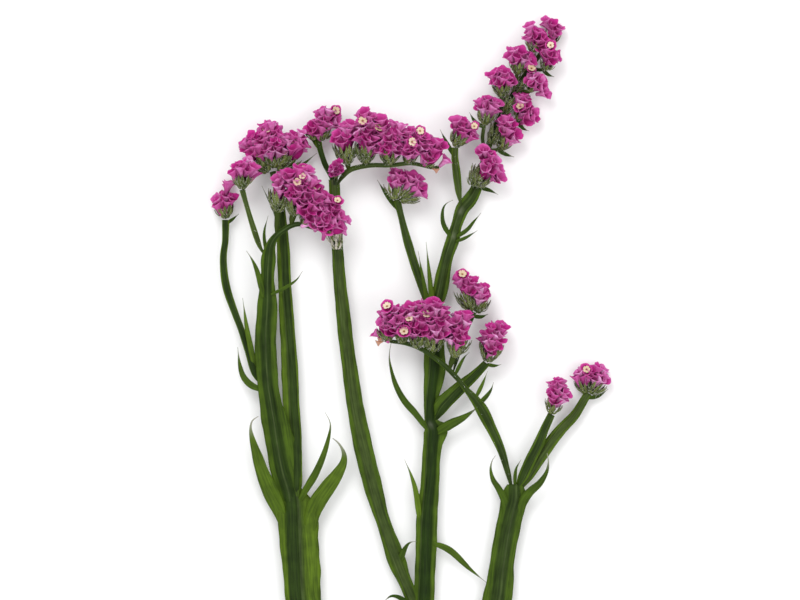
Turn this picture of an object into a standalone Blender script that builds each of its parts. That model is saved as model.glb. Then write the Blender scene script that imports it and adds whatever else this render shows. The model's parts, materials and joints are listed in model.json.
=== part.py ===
"""A cut flowering stem of pink statice, lying on its side on a flat surface.

One main stem forks just above its cut end into a left, a centre and a right branch, and the
centre branch carries a fourth, the middle one. Every stem is winged and lies with its wings
flat. Each branch is one green solid: its forks, its strap leaves and the bract cups under its
flower heads grow out of it. Each flower head is a solid of papery funnels on a small core.

Lengths in the tables are in millimetres. X runs across the stem, Y along it towards the
flowers and Z up from the surface. The finished part is in metres.
"""

import math
import random

import bmesh
import bpy
from mathutils import Matrix, Vector
from mathutils.geometry import intersect_point_line

MM = 0.001

STEM_GAP = 0.35
STALK_SIDES = 6
SPIKE_STALK_RADIUS = 0.9
# Wings together wider than this many core radii make a stem winged.
WINGED = 3.0
WING_EDGE = 0.45
# A winged stem's top ridge and underside, as shares of its core's radius.
RIDGE = ((0.7, 0.7), (-0.3, 1.0))
UNDERSIDE = ((-0.6, -0.8), (0.6, -0.8))
# Half a leaf's thickness along its keel, at its root and at its tip.
LEAF_KEEL = (0.65, 0.35)
LEAF_TIP = 0.18
LEAF_ROOT = 0.22
LEAF_SWELL = 0.8

CUP_SHARE = 0.30
CUP_WIDTH = 0.50
CUP_NECK = 1.3
CUP_PIT = 0.25
CUP_SIDES = 6
CUP_TIP_OUT = 0.8
CUP_SUNK = 1.2

# Shares of a tuft: its florets' centre above the cup, and the core that they stand on.
CENTRE_ABOVE_CUP = 0.16
CORE_SHARE = 0.46
CORE_FOOT = 0.75
LINK_SHARE = 0.2
LINK_HEIGHT = 0.25

# Each ring of florets: how far it leans from the tuft's axis in degrees, and how many stand in it.
FLORET_RINGS = ((0, 1), (52, 4), (86, 4))
RING_TURN = 45
RING_SHIFT = 20
FLORET_SHIFT = 2
FLORET_SIDES = 5
FLORET_ROOT = 0.18
FLORET_RIM = 0.46
FLORET_REACH = 0.92
FLORET_PIT = 0.5
FLORET_SPACING = 0.7
FLORET_CLEAR = 0.53
NEIGHBOUR_CLEAR = 0.8

SMOOTH_UNDER = 35

# A side stem's first stations, up to this one, belong to the stem that it grows from.
STUB_END = 1

SEED = 11

# Stems: axis x, y, z, then how far the left and right wings reach, and the core's radius.
MAIN_STEM = (
    (2, -290, 2.5, 5.0, 5.4, 3.4),
    (2.6, -276, 2.4, 5.6, 6.2, 3.3),
    (3.4, -258, 2.5, 6.4, 7.0, 3.3),
    (4.4, -240, 3.8, 7.4, 7.8, 3.2),
    (5.4, -226, 4.6, 9.0, 9.4, 3.3),
    (6.0, -216, 5.2, 8.0, 8.0, 3.3),
)
LEFT_STEM = (
    (-1, -222, 5.2, 3.6, 5.0, 2.9),
    (-10, -211, 5.8, 4.0, 6.0, 2.9),
    (-22, -199, 6.2, 5.0, 8.0, 2.9),
    (-37, -182, 6.6, 5.5, 10.0, 3.0),
    (-47, -164, 6.8, 5.5, 11.5, 3.0),
    (-51.5, -150, 7.0, 5.5, 12.5, 3.0),
    (-52.6, -132, 7.2, 6.2, 12.6, 3.0),
    (-53.5, -103, 7.8, 8.2, 13.4, 3.0),
    (-54.5, -94, 8.0, 8.0, 7.6, 2.9),
    (-56, -80, 8.4, 9.0, 7.2, 2.8),
    (-57, -68, 8.8, 10.0, 7.4, 2.7),
    (-58.5, -58, 9.2, 10.0, 8.0, 2.6),
)
LEFT_FORK = (
    (-59, -63, 9.0, 5.0, 5.0, 2.3),
    (-63.5, -54, 9.8, 5.6, 5.6, 2.2),
    (-66, -40, 10.6, 5.4, 5.2, 2.1),
    (-67, -20, 11.8, 5.4, 5.4, 2.0),
    (-66, -2, 13.4, 5.0, 4.8, 1.9),
    (-66, 10, 15.0, 3.4, 3.4, 1.8),
    (-65.5, 20, 17.2, 3.8, 3.6, 1.7),
    (-64.5, 27, 19.0, 2.4, 2.6, 1.5),
    (-61.5, 32, 20.4, 1.6, 1.6, 1.3),
    (-57.5, 35, 21.4, 1.4, 1.4, 1.2),
    (-53.5, 37.2, 22.0, 1.3, 1.3, 1.1),
    (-49, 37.8, 22.4, 1.2, 1.2, 1.0),
    (-44.5, 36.4, 22.6, 1.1, 1.1, 0.9),
    (-39.5, 35, 22.6, 1.0, 1.0, 0.9),
    (-34.5, 33, 22.4, 0.8, 0.8, 0.7),
)
RIGHT_FORK = (
    (-56, -66, 8.8, 3.4, 3.6, 2.1),
    (-54.2, -54, 8.6, 4.2, 4.2, 2.0),
    (-55, -34, 8.4, 4.2, 4.2, 1.9),
    (-56.2, -14, 8.4, 3.8, 3.8, 1.8),
    (-57.5, 6, 8.6, 3.2, 3.4, 1.7),
    (-58.2, 26, 9.2, 3.2, 3.2, 1.6),
    (-59.5, 44, 10.4, 2.4, 2.4, 1.5),
    (-61.5, 56, 11.6, 1.8, 1.8, 1.4),
    (-63.5, 64, 12.4, 1.6, 1.6, 1.3),
)
THIN_LEFT_STEM = (
    (-67, -44, 9.6, 2.0, 2.0, 1.5),
    (-72, -37, 9.0, 2.0, 2.0, 1.5),
    (-75.5, -26, 8.6, 1.8, 1.8, 1.4),
    (-79.5, -14, 8.2, 1.7, 1.7, 1.3),
    (-84, -2, 7.8, 1.8, 1.8, 1.3),
    (-87, 8, 7.4, 2.0, 2.0, 1.3),
    (-88.2, 20, 7.0, 1.8, 1.8, 1.2),
    (-87.2, 30, 6.8, 1.6, 1.6, 1.2),
    (-87, 40, 6.6, 1.9, 1.9, 1.2),
)
SECOND_HEAD_STALK = (
    (-66, 21, 16.0, 1.2, 1.2, 1.0),
    (-69.5, 26, 17.0, 1.3, 1.3, 1.0),
    (-73, 36, 19.0, 1.4, 1.4, 1.0),
    (-76, 46, 20.4, 1.2, 1.2, 1.0),
    (-78.5, 55, 21.4, 1.4, 1.4, 1.0),
)
MIDDLE_STEM = (
    (9, -156, 7.2, 3.4, 3.2, 2.0),
    (2.2, -139.5, 7.2, 3.6, 3.4, 2.0),
    (-1.5, -130, 7.4, 4.6, 4.4, 2.1),
    (-8.5, -110, 7.6, 3.6, 3.6, 2.1),
    (-14.2, -90, 7.8, 4.8, 4.6, 2.1),
    (-20, -65, 8.2, 4.6, 4.4, 2.0),
    (-23.5, -45, 8.4, 4.0, 4.0, 2.0),
    (-26.2, -25, 8.6, 3.8, 3.6, 1.9),
    (-28.5, -5, 8.8, 3.6, 3.4, 1.8),
    (-30.5, 15, 9.0, 3.0, 3.0, 1.7),
    (-31.8, 35, 9.4, 2.8, 2.8, 1.6),
    (-32.6, 52, 10.4, 2.8, 2.8, 1.6),
    (-32.8, 60, 11.2, 2.8, 2.8, 1.5),
)
SIXTH_HEAD_STALK = (
    (-33.2, 57, 11.0, 1.6, 1.6, 1.2),
    (-35, 63, 11.0, 1.4, 1.4, 1.1),
    (-37.5, 68, 11.2, 1.4, 1.4, 1.1),
    (-39.5, 74, 11.4, 1.4, 1.4, 1.1),
    (-41, 80, 11.6, 1.6, 1.6, 1.1),
)
SEVENTH_HEAD_STALK = (
    (-32.8, 57, 11.6, 1.3, 1.3, 1.1),
    (-32.2, 59.6, 14.4, 1.2, 1.2, 1.0),
    (-32.2, 61, 16.6, 1.3, 1.3, 1.0),
)
EIGHTH_SPRAY_STALK = (
    (-32.2, 56, 11.2, 1.8, 1.8, 1.4),
    (-29, 61, 13.6, 1.6, 1.6, 1.3),
    (-24.5, 65, 16.6, 1.5, 1.5, 1.3),
    (-15, 67, 19.4, 1.5, 1.5, 1.2),
    (-5, 67, 20.4, 1.4, 1.4, 1.1),
    (5, 68, 20.8, 1.3, 1.3, 1.0),
    (11, 67, 20.8, 1.2, 1.2, 0.9),
    (16.5, 65, 20.6, 1.0, 1.0, 0.8),
)
CENTRE_STEM = (
    (6.2, -222, 5.4, 5.6, 5.6, 3.0),
    (6.8, -209, 5.9, 5.6, 5.6, 3.0),
    (9, -184, 6.4, 5.4, 5.4, 2.9),
    (11.8, -150, 7.0, 5.0, 5.2, 2.7),
    (13.4, -110, 7.6, 5.2, 5.4, 2.5),
    (15, -90, 8.0, 4.6, 4.6, 2.4),
    (16, -74, 8.2, 4.6, 4.8, 2.4),
    (16.6, -65, 8.4, 4.8, 7.0, 2.4),
    (15, -60, 8.4, 2.8, 3.6, 2.2),
    (15.4, -48, 8.6, 3.6, 4.2, 2.1),
    (16.8, -36, 8.8, 5.0, 5.8, 2.1),
    (17.2, -27, 9.0, 5.2, 5.2, 2.1),
    (16.8, -10, 9.4, 4.4, 5.0, 2.0),
    (17.4, -3, 9.6, 3.8, 4.4, 1.9),
)
NINTH_HEAD_STALK = (
    (16, -8, 9.4, 1.8, 1.8, 1.4),
    (13.2, 0, 9.8, 1.8, 1.8, 1.3),
    (10, 10, 10.4, 2.2, 2.0, 1.3),
    (6.5, 20, 11.0, 2.1, 2.1, 1.3),
    (3.5, 30, 11.6, 2.1, 2.1, 1.2),
    (1, 40, 12.0, 1.6, 1.6, 1.2),
    (-1.5, 50, 12.2, 1.8, 1.8, 1.2),
)
SPIKE_STEM = (
    (17.4, -8, 9.4, 2.8, 3.4, 1.9),
    (20.6, 8, 10.0, 3.8, 3.8, 1.8),
    (23, 20, 10.4, 3.0, 3.2, 1.8),
    (26.2, 30, 10.6, 3.4, 3.4, 1.8),
    (28, 37, 10.4, 2.6, 2.8, 1.7),
    (31, 45, 9.6, 3.4, 3.4, 1.6),
    (35, 50, 8.4, 3.6, 3.4, 1.5),
    (38.4, 56, 6.8, 3.0, 2.6, 1.4),
    (41, 66, 4.2, 1.8, 1.8, 1.2),
    (45, 79, 4.4, 1.6, 1.6, 1.1),
    (50, 91, 4.4, 1.5, 1.5, 1.1),
    (57, 103.5, 4.4, 1.4, 1.4, 1.0),
    (63.8, 114.5, 4.4, 1.3, 1.3, 1.0),
    (70, 122.5, 4.4, 1.2, 1.2, 0.9),
    (75.4, 127.6, 4.8, 1.2, 1.2, 0.9),
)
TENTH_HEAD_STALK = (
    (31, 45, 9.8, 1.3, 1.3, 1.0),
    (29.4, 53, 10.8, 1.6, 1.6, 1.1),
    (28.4, 62, 11.6, 2.0, 2.0, 1.1),
    (27.4, 70, 12.2, 1.8, 1.8, 1.1),
    (27.5, 76, 12.4, 1.6, 1.6, 1.1),
)
SPIKE_HEAD_STALKS = [
    [(*point, *3 * (SPIKE_STALK_RADIUS,)) for point in points]
    for points in (
        ((43.2, 72.6, 4.6), (41.2, 80, 8.2), (42, 87.4, 11.4)),
        ((43.6, 75.2, 4.6), (47, 74.8, 6.2), (50.2, 75.4, 8.0)),
        ((51, 93, 4.6), (50.2, 97, 7.8), (50.6, 101.4, 10.6)),
        ((50.2, 91.4, 4.0), (54.6, 89.9, 3.4), (58.8, 89.9, 5.0)),
        ((57.8, 105, 4.6), (57.6, 108.8, 7.6), (58.4, 112.8, 10.0)),
        ((58.2, 105.2, 4.6), (61.6, 104.2, 6.8), (64.7, 104, 9.4)),
        ((66.2, 117.8, 4.6), (67, 120.6, 7.0), (66.6, 123.8, 9.8)),
        ((65, 116, 4.6), (68.4, 115, 6.4), (71.6, 115, 8.6)),
    )
]
TWENTY_SECOND_HEAD_STALK = (
    (16.2, -62, 8.6, 2.4, 2.4, 1.7),
    (22, -53.5, 10.0, 5.6, 2.2, 1.6),
    (31, -44, 10.6, 4.2, 2.4, 1.5),
    (37.5, -37.5, 11.0, 2.6, 2.2, 1.3),
    (43, -31.5, 11.4, 1.9, 1.9, 1.2),
)
RIGHT_STEM = (
    (13, -222, 5.2, 3.6, 4.4, 2.8),
    (20, -210, 5.8, 4.8, 4.6, 2.8),
    (31, -194, 6.2, 5.6, 5.4, 2.8),
    (41.5, -173, 6.8, 6.4, 6.4, 2.8),
    (48.4, -150, 7.0, 7.2, 7.2, 2.8),
    (51, -130, 7.2, 6.0, 6.2, 2.7),
    (54.5, -110, 7.6, 6.0, 6.2, 2.6),
    (56.8, -100, 7.8, 6.4, 6.4, 2.6),
    (57, -92, 8.0, 5.2, 5.4, 2.5),
)
LEFT_BRANCHLET = (
    (56, -95, 8.4, 2.0, 2.0, 1.4),
    (53.8, -86, 9.8, 1.5, 1.5, 1.3),
    (50.5, -75, 11.0, 2.0, 2.0, 1.3),
    (46, -65, 12.2, 2.6, 2.6, 1.3),
    (41.4, -55.5, 13.4, 3.2, 3.0, 1.3),
    (38, -50.5, 14.6, 2.4, 2.4, 1.3),
    (32.5, -44, 17.4, 1.4, 1.4, 1.1),
    (28.5, -39, 18.8, 1.3, 1.3, 1.1),
    (21.5, -32, 20.0, 1.3, 1.3, 1.0),
    (12.5, -25.5, 20.8, 1.2, 1.2, 1.0),
    (4, -21.8, 21.2, 1.1, 1.1, 0.9),
    (-4, -20.6, 21.4, 0.9, 0.9, 0.8),
    (-7.5, -20.2, 21.4, 0.7, 0.7, 0.6),
)
TWENTY_FIRST_HEAD_STALK = (
    (26.2, -37, 18.2, 1.1, 1.1, 0.9),
    (29, -27, 14.6, 1.1, 1.1, 0.9),
    (33, -15, 12.4, 1.2, 1.2, 1.0),
    (36.8, -6, 12.2, 1.4, 1.4, 1.0),
)
TWENTY_FOURTH_HEAD_STALK = (
    (57.5, -96, 8.4, 2.8, 2.8, 1.6),
    (61.5, -87.5, 9.2, 2.6, 2.8, 1.5),
    (65.5, -79, 9.8, 2.8, 2.8, 1.5),
    (69, -72, 10.2, 2.6, 2.6, 1.4),
    (71.8, -65, 10.6, 2.2, 2.2, 1.3),
    (75.5, -57, 11.0, 1.9, 1.9, 1.2),
)
TWENTY_FIFTH_HEAD_STALK = (
    (59, -96, 8.0, 2.6, 2.6, 1.6),
    (66, -84.5, 7.4, 2.8, 2.8, 1.5),
    (72.5, -75, 7.0, 3.0, 3.0, 1.5),
    (80, -65, 6.4, 2.8, 2.8, 1.4),
    (87.5, -57, 6.0, 2.4, 2.4, 1.3),
    (94, -46.5, 5.6, 1.9, 1.9, 1.2),
)

FORKS = {
    "left": (LEFT_FORK, RIGHT_FORK, THIN_LEFT_STEM, SECOND_HEAD_STALK),
    "middle": (SIXTH_HEAD_STALK, SEVENTH_HEAD_STALK, EIGHTH_SPRAY_STALK),
    "centre": (
        NINTH_HEAD_STALK, SPIKE_STEM, TENTH_HEAD_STALK, TWENTY_SECOND_HEAD_STALK, *SPIKE_HEAD_STALKS,
    ),
    "right": (
        LEFT_BRANCHLET, TWENTY_FIRST_HEAD_STALK, TWENTY_FOURTH_HEAD_STALK, TWENTY_FIFTH_HEAD_STALK,
    ),
}

# Leaves: the half-width at the widest, then the midrib's points x, y, z from root to tip.
MAIN_LEAVES = (
    (2.4, (1, -224, 5.6), (-7, -207, 9.5), (-13, -186, 10.5), (-12, -166, 9)),
    (2.2, (8, -224, 7), (13.5, -205, 11.4), (19, -187, 11.6), (25.5, -170, 10)),
)
LEFT_LEAVES = (
    (4.6, (-59, -99, 8.4), (-68, -91, 9.5), (-74, -80, 10.5), (-76, -69, 11), (-70, -58, 10.5)),
    (3.4, (-49, -96, 8.6), (-44, -88, 10.5), (-39, -77, 11.5), (-35, -67, 11), (-37.5, -56, 9.5)),
    (5.0, (-46, -101, 8), (-35, -93, 8.5), (-29, -83, 8.5), (-27.5, -76, 8), (-33, -69.5, 7)),
    (2.6, (-68.6, -43, 9.6), (-75, -44, 9.2), (-79, -38, 9), (-81, -24, 8.6)),
    (2.6, (-71.5, -32, 10), (-75.5, -20, 11.4), (-77, -10, 11.6), (-78.5, 1, 10.6)),
    (2.2, (-69, 6, 14.6), (-71.5, 16, 15.4), (-76.5, 24.5, 14.6)),
    (1.6, (-64, 3, 15), (-57.5, 6, 15.6), (-51, 10, 15.4), (-48.5, 14.5, 14.6)),
    (1.6, (-59, 30, 9.6), (-62, 43, 11), (-66, 51, 10.6), (-69, 57, 9.6)),
    (2.2, (-66.4, 24, 17.8), (-68.5, 33, 18.6), (-66, 42, 18.2)),
    (1.8, (-62.6, 61.5, 11.6), (-56, 63.4, 8), (-49, 66, 6), (-42, 71.5, 5.6)),
    (1.5, (-87, 38, 6.6), (-84, 40, 5.4), (-80.5, 43, 4.6)),
)
MIDDLE_LEAVES = (
    (2.6, (-1, -130, 7.8), (3.5, -122.5, 9.6), (8, -120.5, 10.8)),
    (1.7, (-39.8, 76, 11.6), (-44, 80, 9.6), (-46.8, 84, 8.8)),
)
CENTRE_LEAVES = (
    (3.0, (14, -63, 8.8), (6, -54, 10.4), (-1.5, -43, 11.2), (-5, -31, 11.2), (-4.5, -22, 10)),
    (3.4, (18, -64, 9), (26.5, -60.5, 10.6), (33, -57, 10.8), (39.5, -53, 10.2)),
    (2.8, (9.5, -106, 8), (7.4, -95, 9.8), (4.8, -87, 10), (2.2, -79.5, 9.4)),
    (3.0, (16.5, -121, 8), (26, -125.5, 8.8), (35, -134.5, 7), (43, -141, 4.6)),
    (2.4, (15.6, -6, 9.8), (11.4, 13, 12.6), (9, 24.5, 12.6)),
    (2.8, (17.2, -9, 9.8), (14.8, 13, 12.4), (13, 29, 12.2)),
    (2.8, (26, 33, 11.6), (21.4, 38.5, 13), (21.4, 46, 12.8), (26.4, 49.5, 11.8)),
    (1.8, (28.6, 33.5, 11.6), (34.5, 36, 12.6), (40, 42.5, 12.2)),
    (1.6, (28, 31, 11.4), (33, 31, 12), (39, 34.6, 11.6)),
    (1.6, (-1.6, 46, 12), (-7, 51, 8.6), (-11.4, 57.5, 6.4)),
    (1.5, (27, 73, 12.2), (23, 79, 10.2), (20, 85, 9.2)),
    (1.5, (38.8, 56.4, 7.2), (44.5, 54.8, 7.8), (49, 52.6, 7.2)),
    (1.4, (48.6, 75, 7.2), (53, 72.6, 6.6), (57, 71.4, 6.2)),
    (1.4, (41.8, 86, 10.8), (37.4, 89, 10), (34.6, 93.6, 9.2)),
    (1.4, (58, 89.8, 4.6), (61.6, 85.6, 4.2), (64.6, 84.4, 4)),
    (1.4, (71, 115, 8.2), (74, 112.4, 7.8), (77, 111.4, 7.4)),
    (1.4, (43, -32, 11.4), (47, -32.8, 10.4), (50.5, -32.2, 9.8)),
)
RIGHT_LEAVES = (
    (3.0, (53.5, -97, 8.4), (47, -90, 9.6), (45.4, -83, 10.2), (48, -78, 9.8)),
    (3.4, (59.5, -98, 8.2), (70, -92.5, 9.8), (75, -82, 10.4), (74, -76.5, 9.6)),
    (1.8, (57.4, -91, 9), (58, -84, 11), (60.4, -79.5, 11.6)),
    (2.4, (40, -51.5, 13.8), (45, -45.5, 14.6), (46.4, -41.5, 14.4)),
    (2.0, (37.6, -49, 14.4), (41, -42, 14.8), (43.6, -37.5, 14.6)),
    (1.4, (27.2, -37.6, 18.8), (31.4, -27.4, 18.8), (34.5, -26, 17.6)),
    (1.4, (36.4, -8, 12.2), (40.4, -8.4, 11.2), (44, -7, 10.6)),
    (1.4, (93.2, -49, 5.4), (99, -50, 3.4), (104, -49, 1.9)),
)

# Tufts of florets: root x, y, z, then the tip's x, y, z and the width across.
HEADS = {
    "left": {
        "head_01": (((-87, 40.5, 6.4), (-89.5, 60, 6.4), 13.5),),
        "head_02": (((-78.6, 55, 21.6), (-78.6, 69.8, 24), 13.4),),
        "head_03": (
            ((-65.6, 63.6, 12.6), (-77.5, 78.5, 12.6), 16.0),
            ((-63.4, 65.6, 12.8), (-62.4, 89, 13.6), 16.5),
            ((-61.2, 63.6, 12.6), (-46.5, 80, 12.6), 16.0),
        ),
        "head_05": (
            ((-61.6, 32.2, 20.4), (-62, 60.5, 24.5), 16.5),
            ((-54.4, 37, 22), (-49, 64.5, 27.5), 17.0),
            ((-48, 37.4, 22.4), (-37.5, 56.5, 28.0), 16.0),
            ((-42, 35.8, 22.6), (-29.5, 46.5, 27.5), 14.0),
            ((-37, 34.4, 22.6), (-25, 35.5, 26.0), 12.0),
        ),
    },
    "middle": {
        "head_06": (
            ((-42.4, 79.6, 11.6), (-45, 95.5, 11.6), 12.5),
            ((-39.8, 79.4, 11.6), (-30.5, 93.6, 11), 12.5),
        ),
        "head_07": (((-32.2, 61, 16.4), (-31.8, 70, 22), 7.6),),
        "head_08": (
            ((-25.6, 64.6, 16.4), (-29, 87, 24.5), 16.5),
            ((-17, 66.6, 19), (-17.5, 93.5, 25), 17.0),
            ((-5.6, 67, 20.4), (-4, 89.5, 26), 16.0),
            ((3.6, 68, 20.8), (9, 86.5, 26), 15.0),
            ((12, 66.8, 20.8), (24, 79, 25.0), 14.0),
        ),
    },
    "centre": {
        "head_09": (
            ((-2.6, 49.8, 12.2), (-3.4, 65.5, 12.6), 12.5),
            ((-0.2, 49.4, 12.2), (12.4, 60.2, 12.2), 12.5),
        ),
        "head_10": (((27.5, 76, 12.4), (34, 91.5, 13.4), 14.5),),
        "head_11": (((38.9, 56.6, 7.4), (46.5, 75, 22.5), 14.5),),
        "head_12": (((42, 87, 11.2), (45.2, 101, 13.0), 13.0),),
        "head_13": (((50, 75, 8), (58.4, 93, 12), 13.8),),
        "head_14": (((50.6, 101, 10.4), (51.4, 117, 13.4), 14.0),),
        "head_15": (((58.6, 89.6, 5.0), (66.4, 102.6, 7.4), 13.5),),
        "head_16": (((58.4, 112.4, 9.8), (60.6, 127.5, 13), 13.5),),
        "head_17": (((64.6, 103.8, 9.4), (70, 114.4, 12.6), 12.5),),
        "head_18": (((66.5, 123.4, 9.8), (68.2, 138.8, 15), 12.2),),
        "head_19": (((71.4, 114.8, 8.6), (79, 127.6, 14.4), 12.0),),
        "head_20": (((75.4, 127.4, 5.0), (77.8, 142.4, 5.2), 11.3),),
        "head_22": (((43.6, -31, 11.4), (48.6, -9.5, 13.4), 16.5),),
    },
    "right": {
        "head_21": (
            ((35.6, -6.4, 12.2), (30.5, 12.5, 13), 12.5),
            ((38, -6.4, 12.2), (45.5, 9, 12.4), 12.5),
        ),
        "head_23": (
            ((-5.4, -20.6, 21.4), (-14, -12.5, 24.5), 13.0),
            ((1.4, -21.4, 21.4), (-5.5, -2, 27.0), 15.5),
            ((8.6, -24, 21.2), (6.4, -1.5, 28.0), 16.0),
            ((16, -28.4, 20.6), (19, -3.5, 27.5), 16.5),
            ((24.4, -34.8, 19.8), (33.5, -7, 26.0), 15.0),
        ),
        "head_24": (((75.5, -57, 11), (80, -38, 12.4), 12.5),),
        "head_25": (
            ((92.8, -46.8, 5.6), (88.4, -32.6, 5.6), 12.0),
            ((95.2, -47, 5.6), (103.4, -34.8, 5.4), 12.0),
        ),
    },
}


def loft(rings, name, collection):
    """A closed skin through rings of points, with a flat face at each end."""
    mesh = bmesh.new()
    rows = [[mesh.verts.new(point) for point in ring] for ring in rings]
    for lower, upper in zip(rows, rows[1:]):
        for i in range(len(lower)):
            j = (i + 1) % len(lower)
            mesh.faces.new((lower[i], lower[j], upper[j], upper[i]))
    mesh.faces.new(rows[0])
    mesh.faces.new(rows[-1])
    bmesh.ops.recalc_face_normals(mesh, faces=mesh.faces)
    return add_mesh(mesh, name, collection)


def add_mesh(mesh, name, collection):
    data = bpy.data.meshes.new(name)
    mesh.to_mesh(data)
    mesh.free()
    item = bpy.data.objects.new(name, data)
    collection.objects.link(item)
    return item


def frames(points):
    """The point, forward, side and up directions along a route that lies nearly flat."""
    found = []
    for i, point in enumerate(points):
        along = (points[min(i + 1, len(points) - 1)] - points[max(i - 1, 0)]).normalized()
        side = along.cross(Vector((0, 0, 1))).normalized()
        found.append((point, along, side, side.cross(along)))
    return found


def stem_section(left, right, core):
    """A flattened core with a low ridge on top and a thin wing on each side."""
    ridge = [(core * x, core * y) for x, y in RIDGE]
    underside = [(core * x, core * y) for x, y in UNDERSIDE]
    right_wing = ((right, -WING_EDGE), (right, WING_EDGE))
    left_wing = ((-left, WING_EDGE), (-left, -WING_EDGE))
    return (*right_wing, *ridge, *left_wing, *underside)


def stalk_section(left, right, core):
    """A flattened rod, for a stalk with next to no wings."""
    turns = [i * math.tau / STALK_SIDES for i in range(STALK_SIDES)]
    return [((left + right) / 2 * math.cos(turn), core * math.sin(turn)) for turn in turns]


def stem_rings(stations):
    """The sections of a stem, whose wings and core change along the way."""
    winged = any(left + right > WINGED * core for *_, left, right, core in stations)
    section = stem_section if winged else stalk_section
    rings = []
    for station, (point, _, side, up) in zip(stations, frames([Vector(s[:3]) for s in stations])):
        left, right, core = station[3:]
        if winged:
            left, right = max(left, core), max(right, core)
        rings.append([(point + side * x + up * y) * MM for x, y in section(left, right, core)])
    return rings


def stem(stations, name, collection):
    return loft(stem_rings(stations), name, collection)


def stub(stations, name, collection):
    """The start of a side stem, which is part of the stem that it grows from."""
    return loft(stem_rings(stations)[: STUB_END + 1], name, collection)


def side_stem(stations, name, collection):
    """The rest of a side stem, a hair's breadth clear of its stub."""
    rings = stem_rings(stations)[STUB_END:]
    _, along, _, _ = frames([Vector(s[:3]) for s in stations])[STUB_END]
    rings[0] = [point + along * STEM_GAP * MM for point in rings[0]]
    return loft(rings, name, collection)


def leaf(width, points, name, collection):
    """A narrow blade, widest a third of the way along, with a keel and a fine tip."""
    points = [Vector(p) for p in points]
    root_keel, tip_keel = LEAF_KEEL
    rings = []
    for i, (point, _, side, up) in enumerate(frames(points)):
        share = i / (len(points) - 1)
        swell = (LEAF_ROOT + (1 - LEAF_ROOT) * share) ** LEAF_SWELL
        half = width * max(LEAF_TIP, math.sin(math.pi * swell))
        keel = root_keel + (tip_keel - root_keel) * share
        section = ((half, 0), (0, keel), (-half, 0), (0, -keel))
        rings.append([(point + side * x + up * y) * MM for x, y in section])
    return loft(rings, name, collection)


def tuft_sizes(root, tip, width):
    """The lengths along a tuft's axis at which its cup ends and its florets' centre lies."""
    length = (Vector(tip) - Vector(root)).length
    cup_height = CUP_SHARE * length
    return length, cup_height, cup_height + CENTRE_ABOVE_CUP * width


def standing(root, tip):
    """Turns a shape that stands on the origin to grow from root towards tip."""
    axis = Vector(tip) - Vector(root)
    turn = axis.to_track_quat("Z", "Y").to_matrix().to_4x4()
    return Matrix.Scale(MM, 4) @ Matrix.Translation(Vector(root)) @ turn


def cup(tuft, name, collection):
    """A cone of pointed bracts with a hollow top, which the florets' core stands in."""
    root, tip, width = tuft
    _, height, _ = tuft_sizes(root, tip, width)
    rim = CUP_WIDTH * width / 2
    mesh = bmesh.new()
    bmesh.ops.create_cone(
        mesh, cap_ends=True, cap_tris=True, segments=CUP_SIDES,
        radius1=CUP_NECK, radius2=rim, depth=height + CUP_SUNK,
    )
    bmesh.ops.translate(mesh, verts=mesh.verts, vec=(0, 0, (height - CUP_SUNK) / 2))
    for vertex in mesh.verts:
        radius = vertex.co.xy.length
        if vertex.co.z > 0.9 * height and radius < 0.1:
            vertex.co.z = CUP_PIT * height
        elif vertex.co.z > 0.9 * height:
            turn = round(math.atan2(vertex.co.y, vertex.co.x) / (math.tau / CUP_SIDES))
            if turn % 2:
                vertex.co.xy *= (rim + CUP_TIP_OUT) / radius
    mesh.transform(standing(root, tip))
    return add_mesh(mesh, name, collection)


def core(tuft, name, collection):
    """The small body in the middle of a tuft that its florets are rooted in."""
    root, tip, width = tuft
    length, cup_height, centre = tuft_sizes(root, tip, width)
    across = CORE_SHARE * width / 2
    mesh = bmesh.new()
    bmesh.ops.create_icosphere(mesh, subdivisions=1, radius=1)
    for vertex in mesh.verts:
        drop = centre - CORE_FOOT * cup_height
        vertex.co.z *= CORE_SHARE * (length - centre) if vertex.co.z > 0 else drop
        vertex.co.xy *= across
        vertex.co.z += centre
    mesh.transform(standing(root, tip))
    return add_mesh(mesh, name, collection)


def link(before, after, name, collection):
    """The neck between the cores of two neighbouring tufts."""
    ends = []
    for root, tip, width in (before, after):
        length, _, centre = tuft_sizes(root, tip, width)
        height = centre + LINK_HEIGHT * (length - centre)
        ends.append(standing(root, tip) @ Vector((0, 0, height)) / MM)
    mesh = bmesh.new()
    bmesh.ops.create_cone(
        mesh, cap_ends=True, segments=STALK_SIDES, depth=(ends[1] - ends[0]).length,
        radius1=LINK_SHARE * before[2] / 2, radius2=LINK_SHARE * after[2] / 2,
    )
    bmesh.ops.translate(mesh, verts=mesh.verts, vec=(0, 0, (ends[1] - ends[0]).length / 2))
    mesh.transform(standing(*ends))
    return add_mesh(mesh, name, collection)


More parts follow.
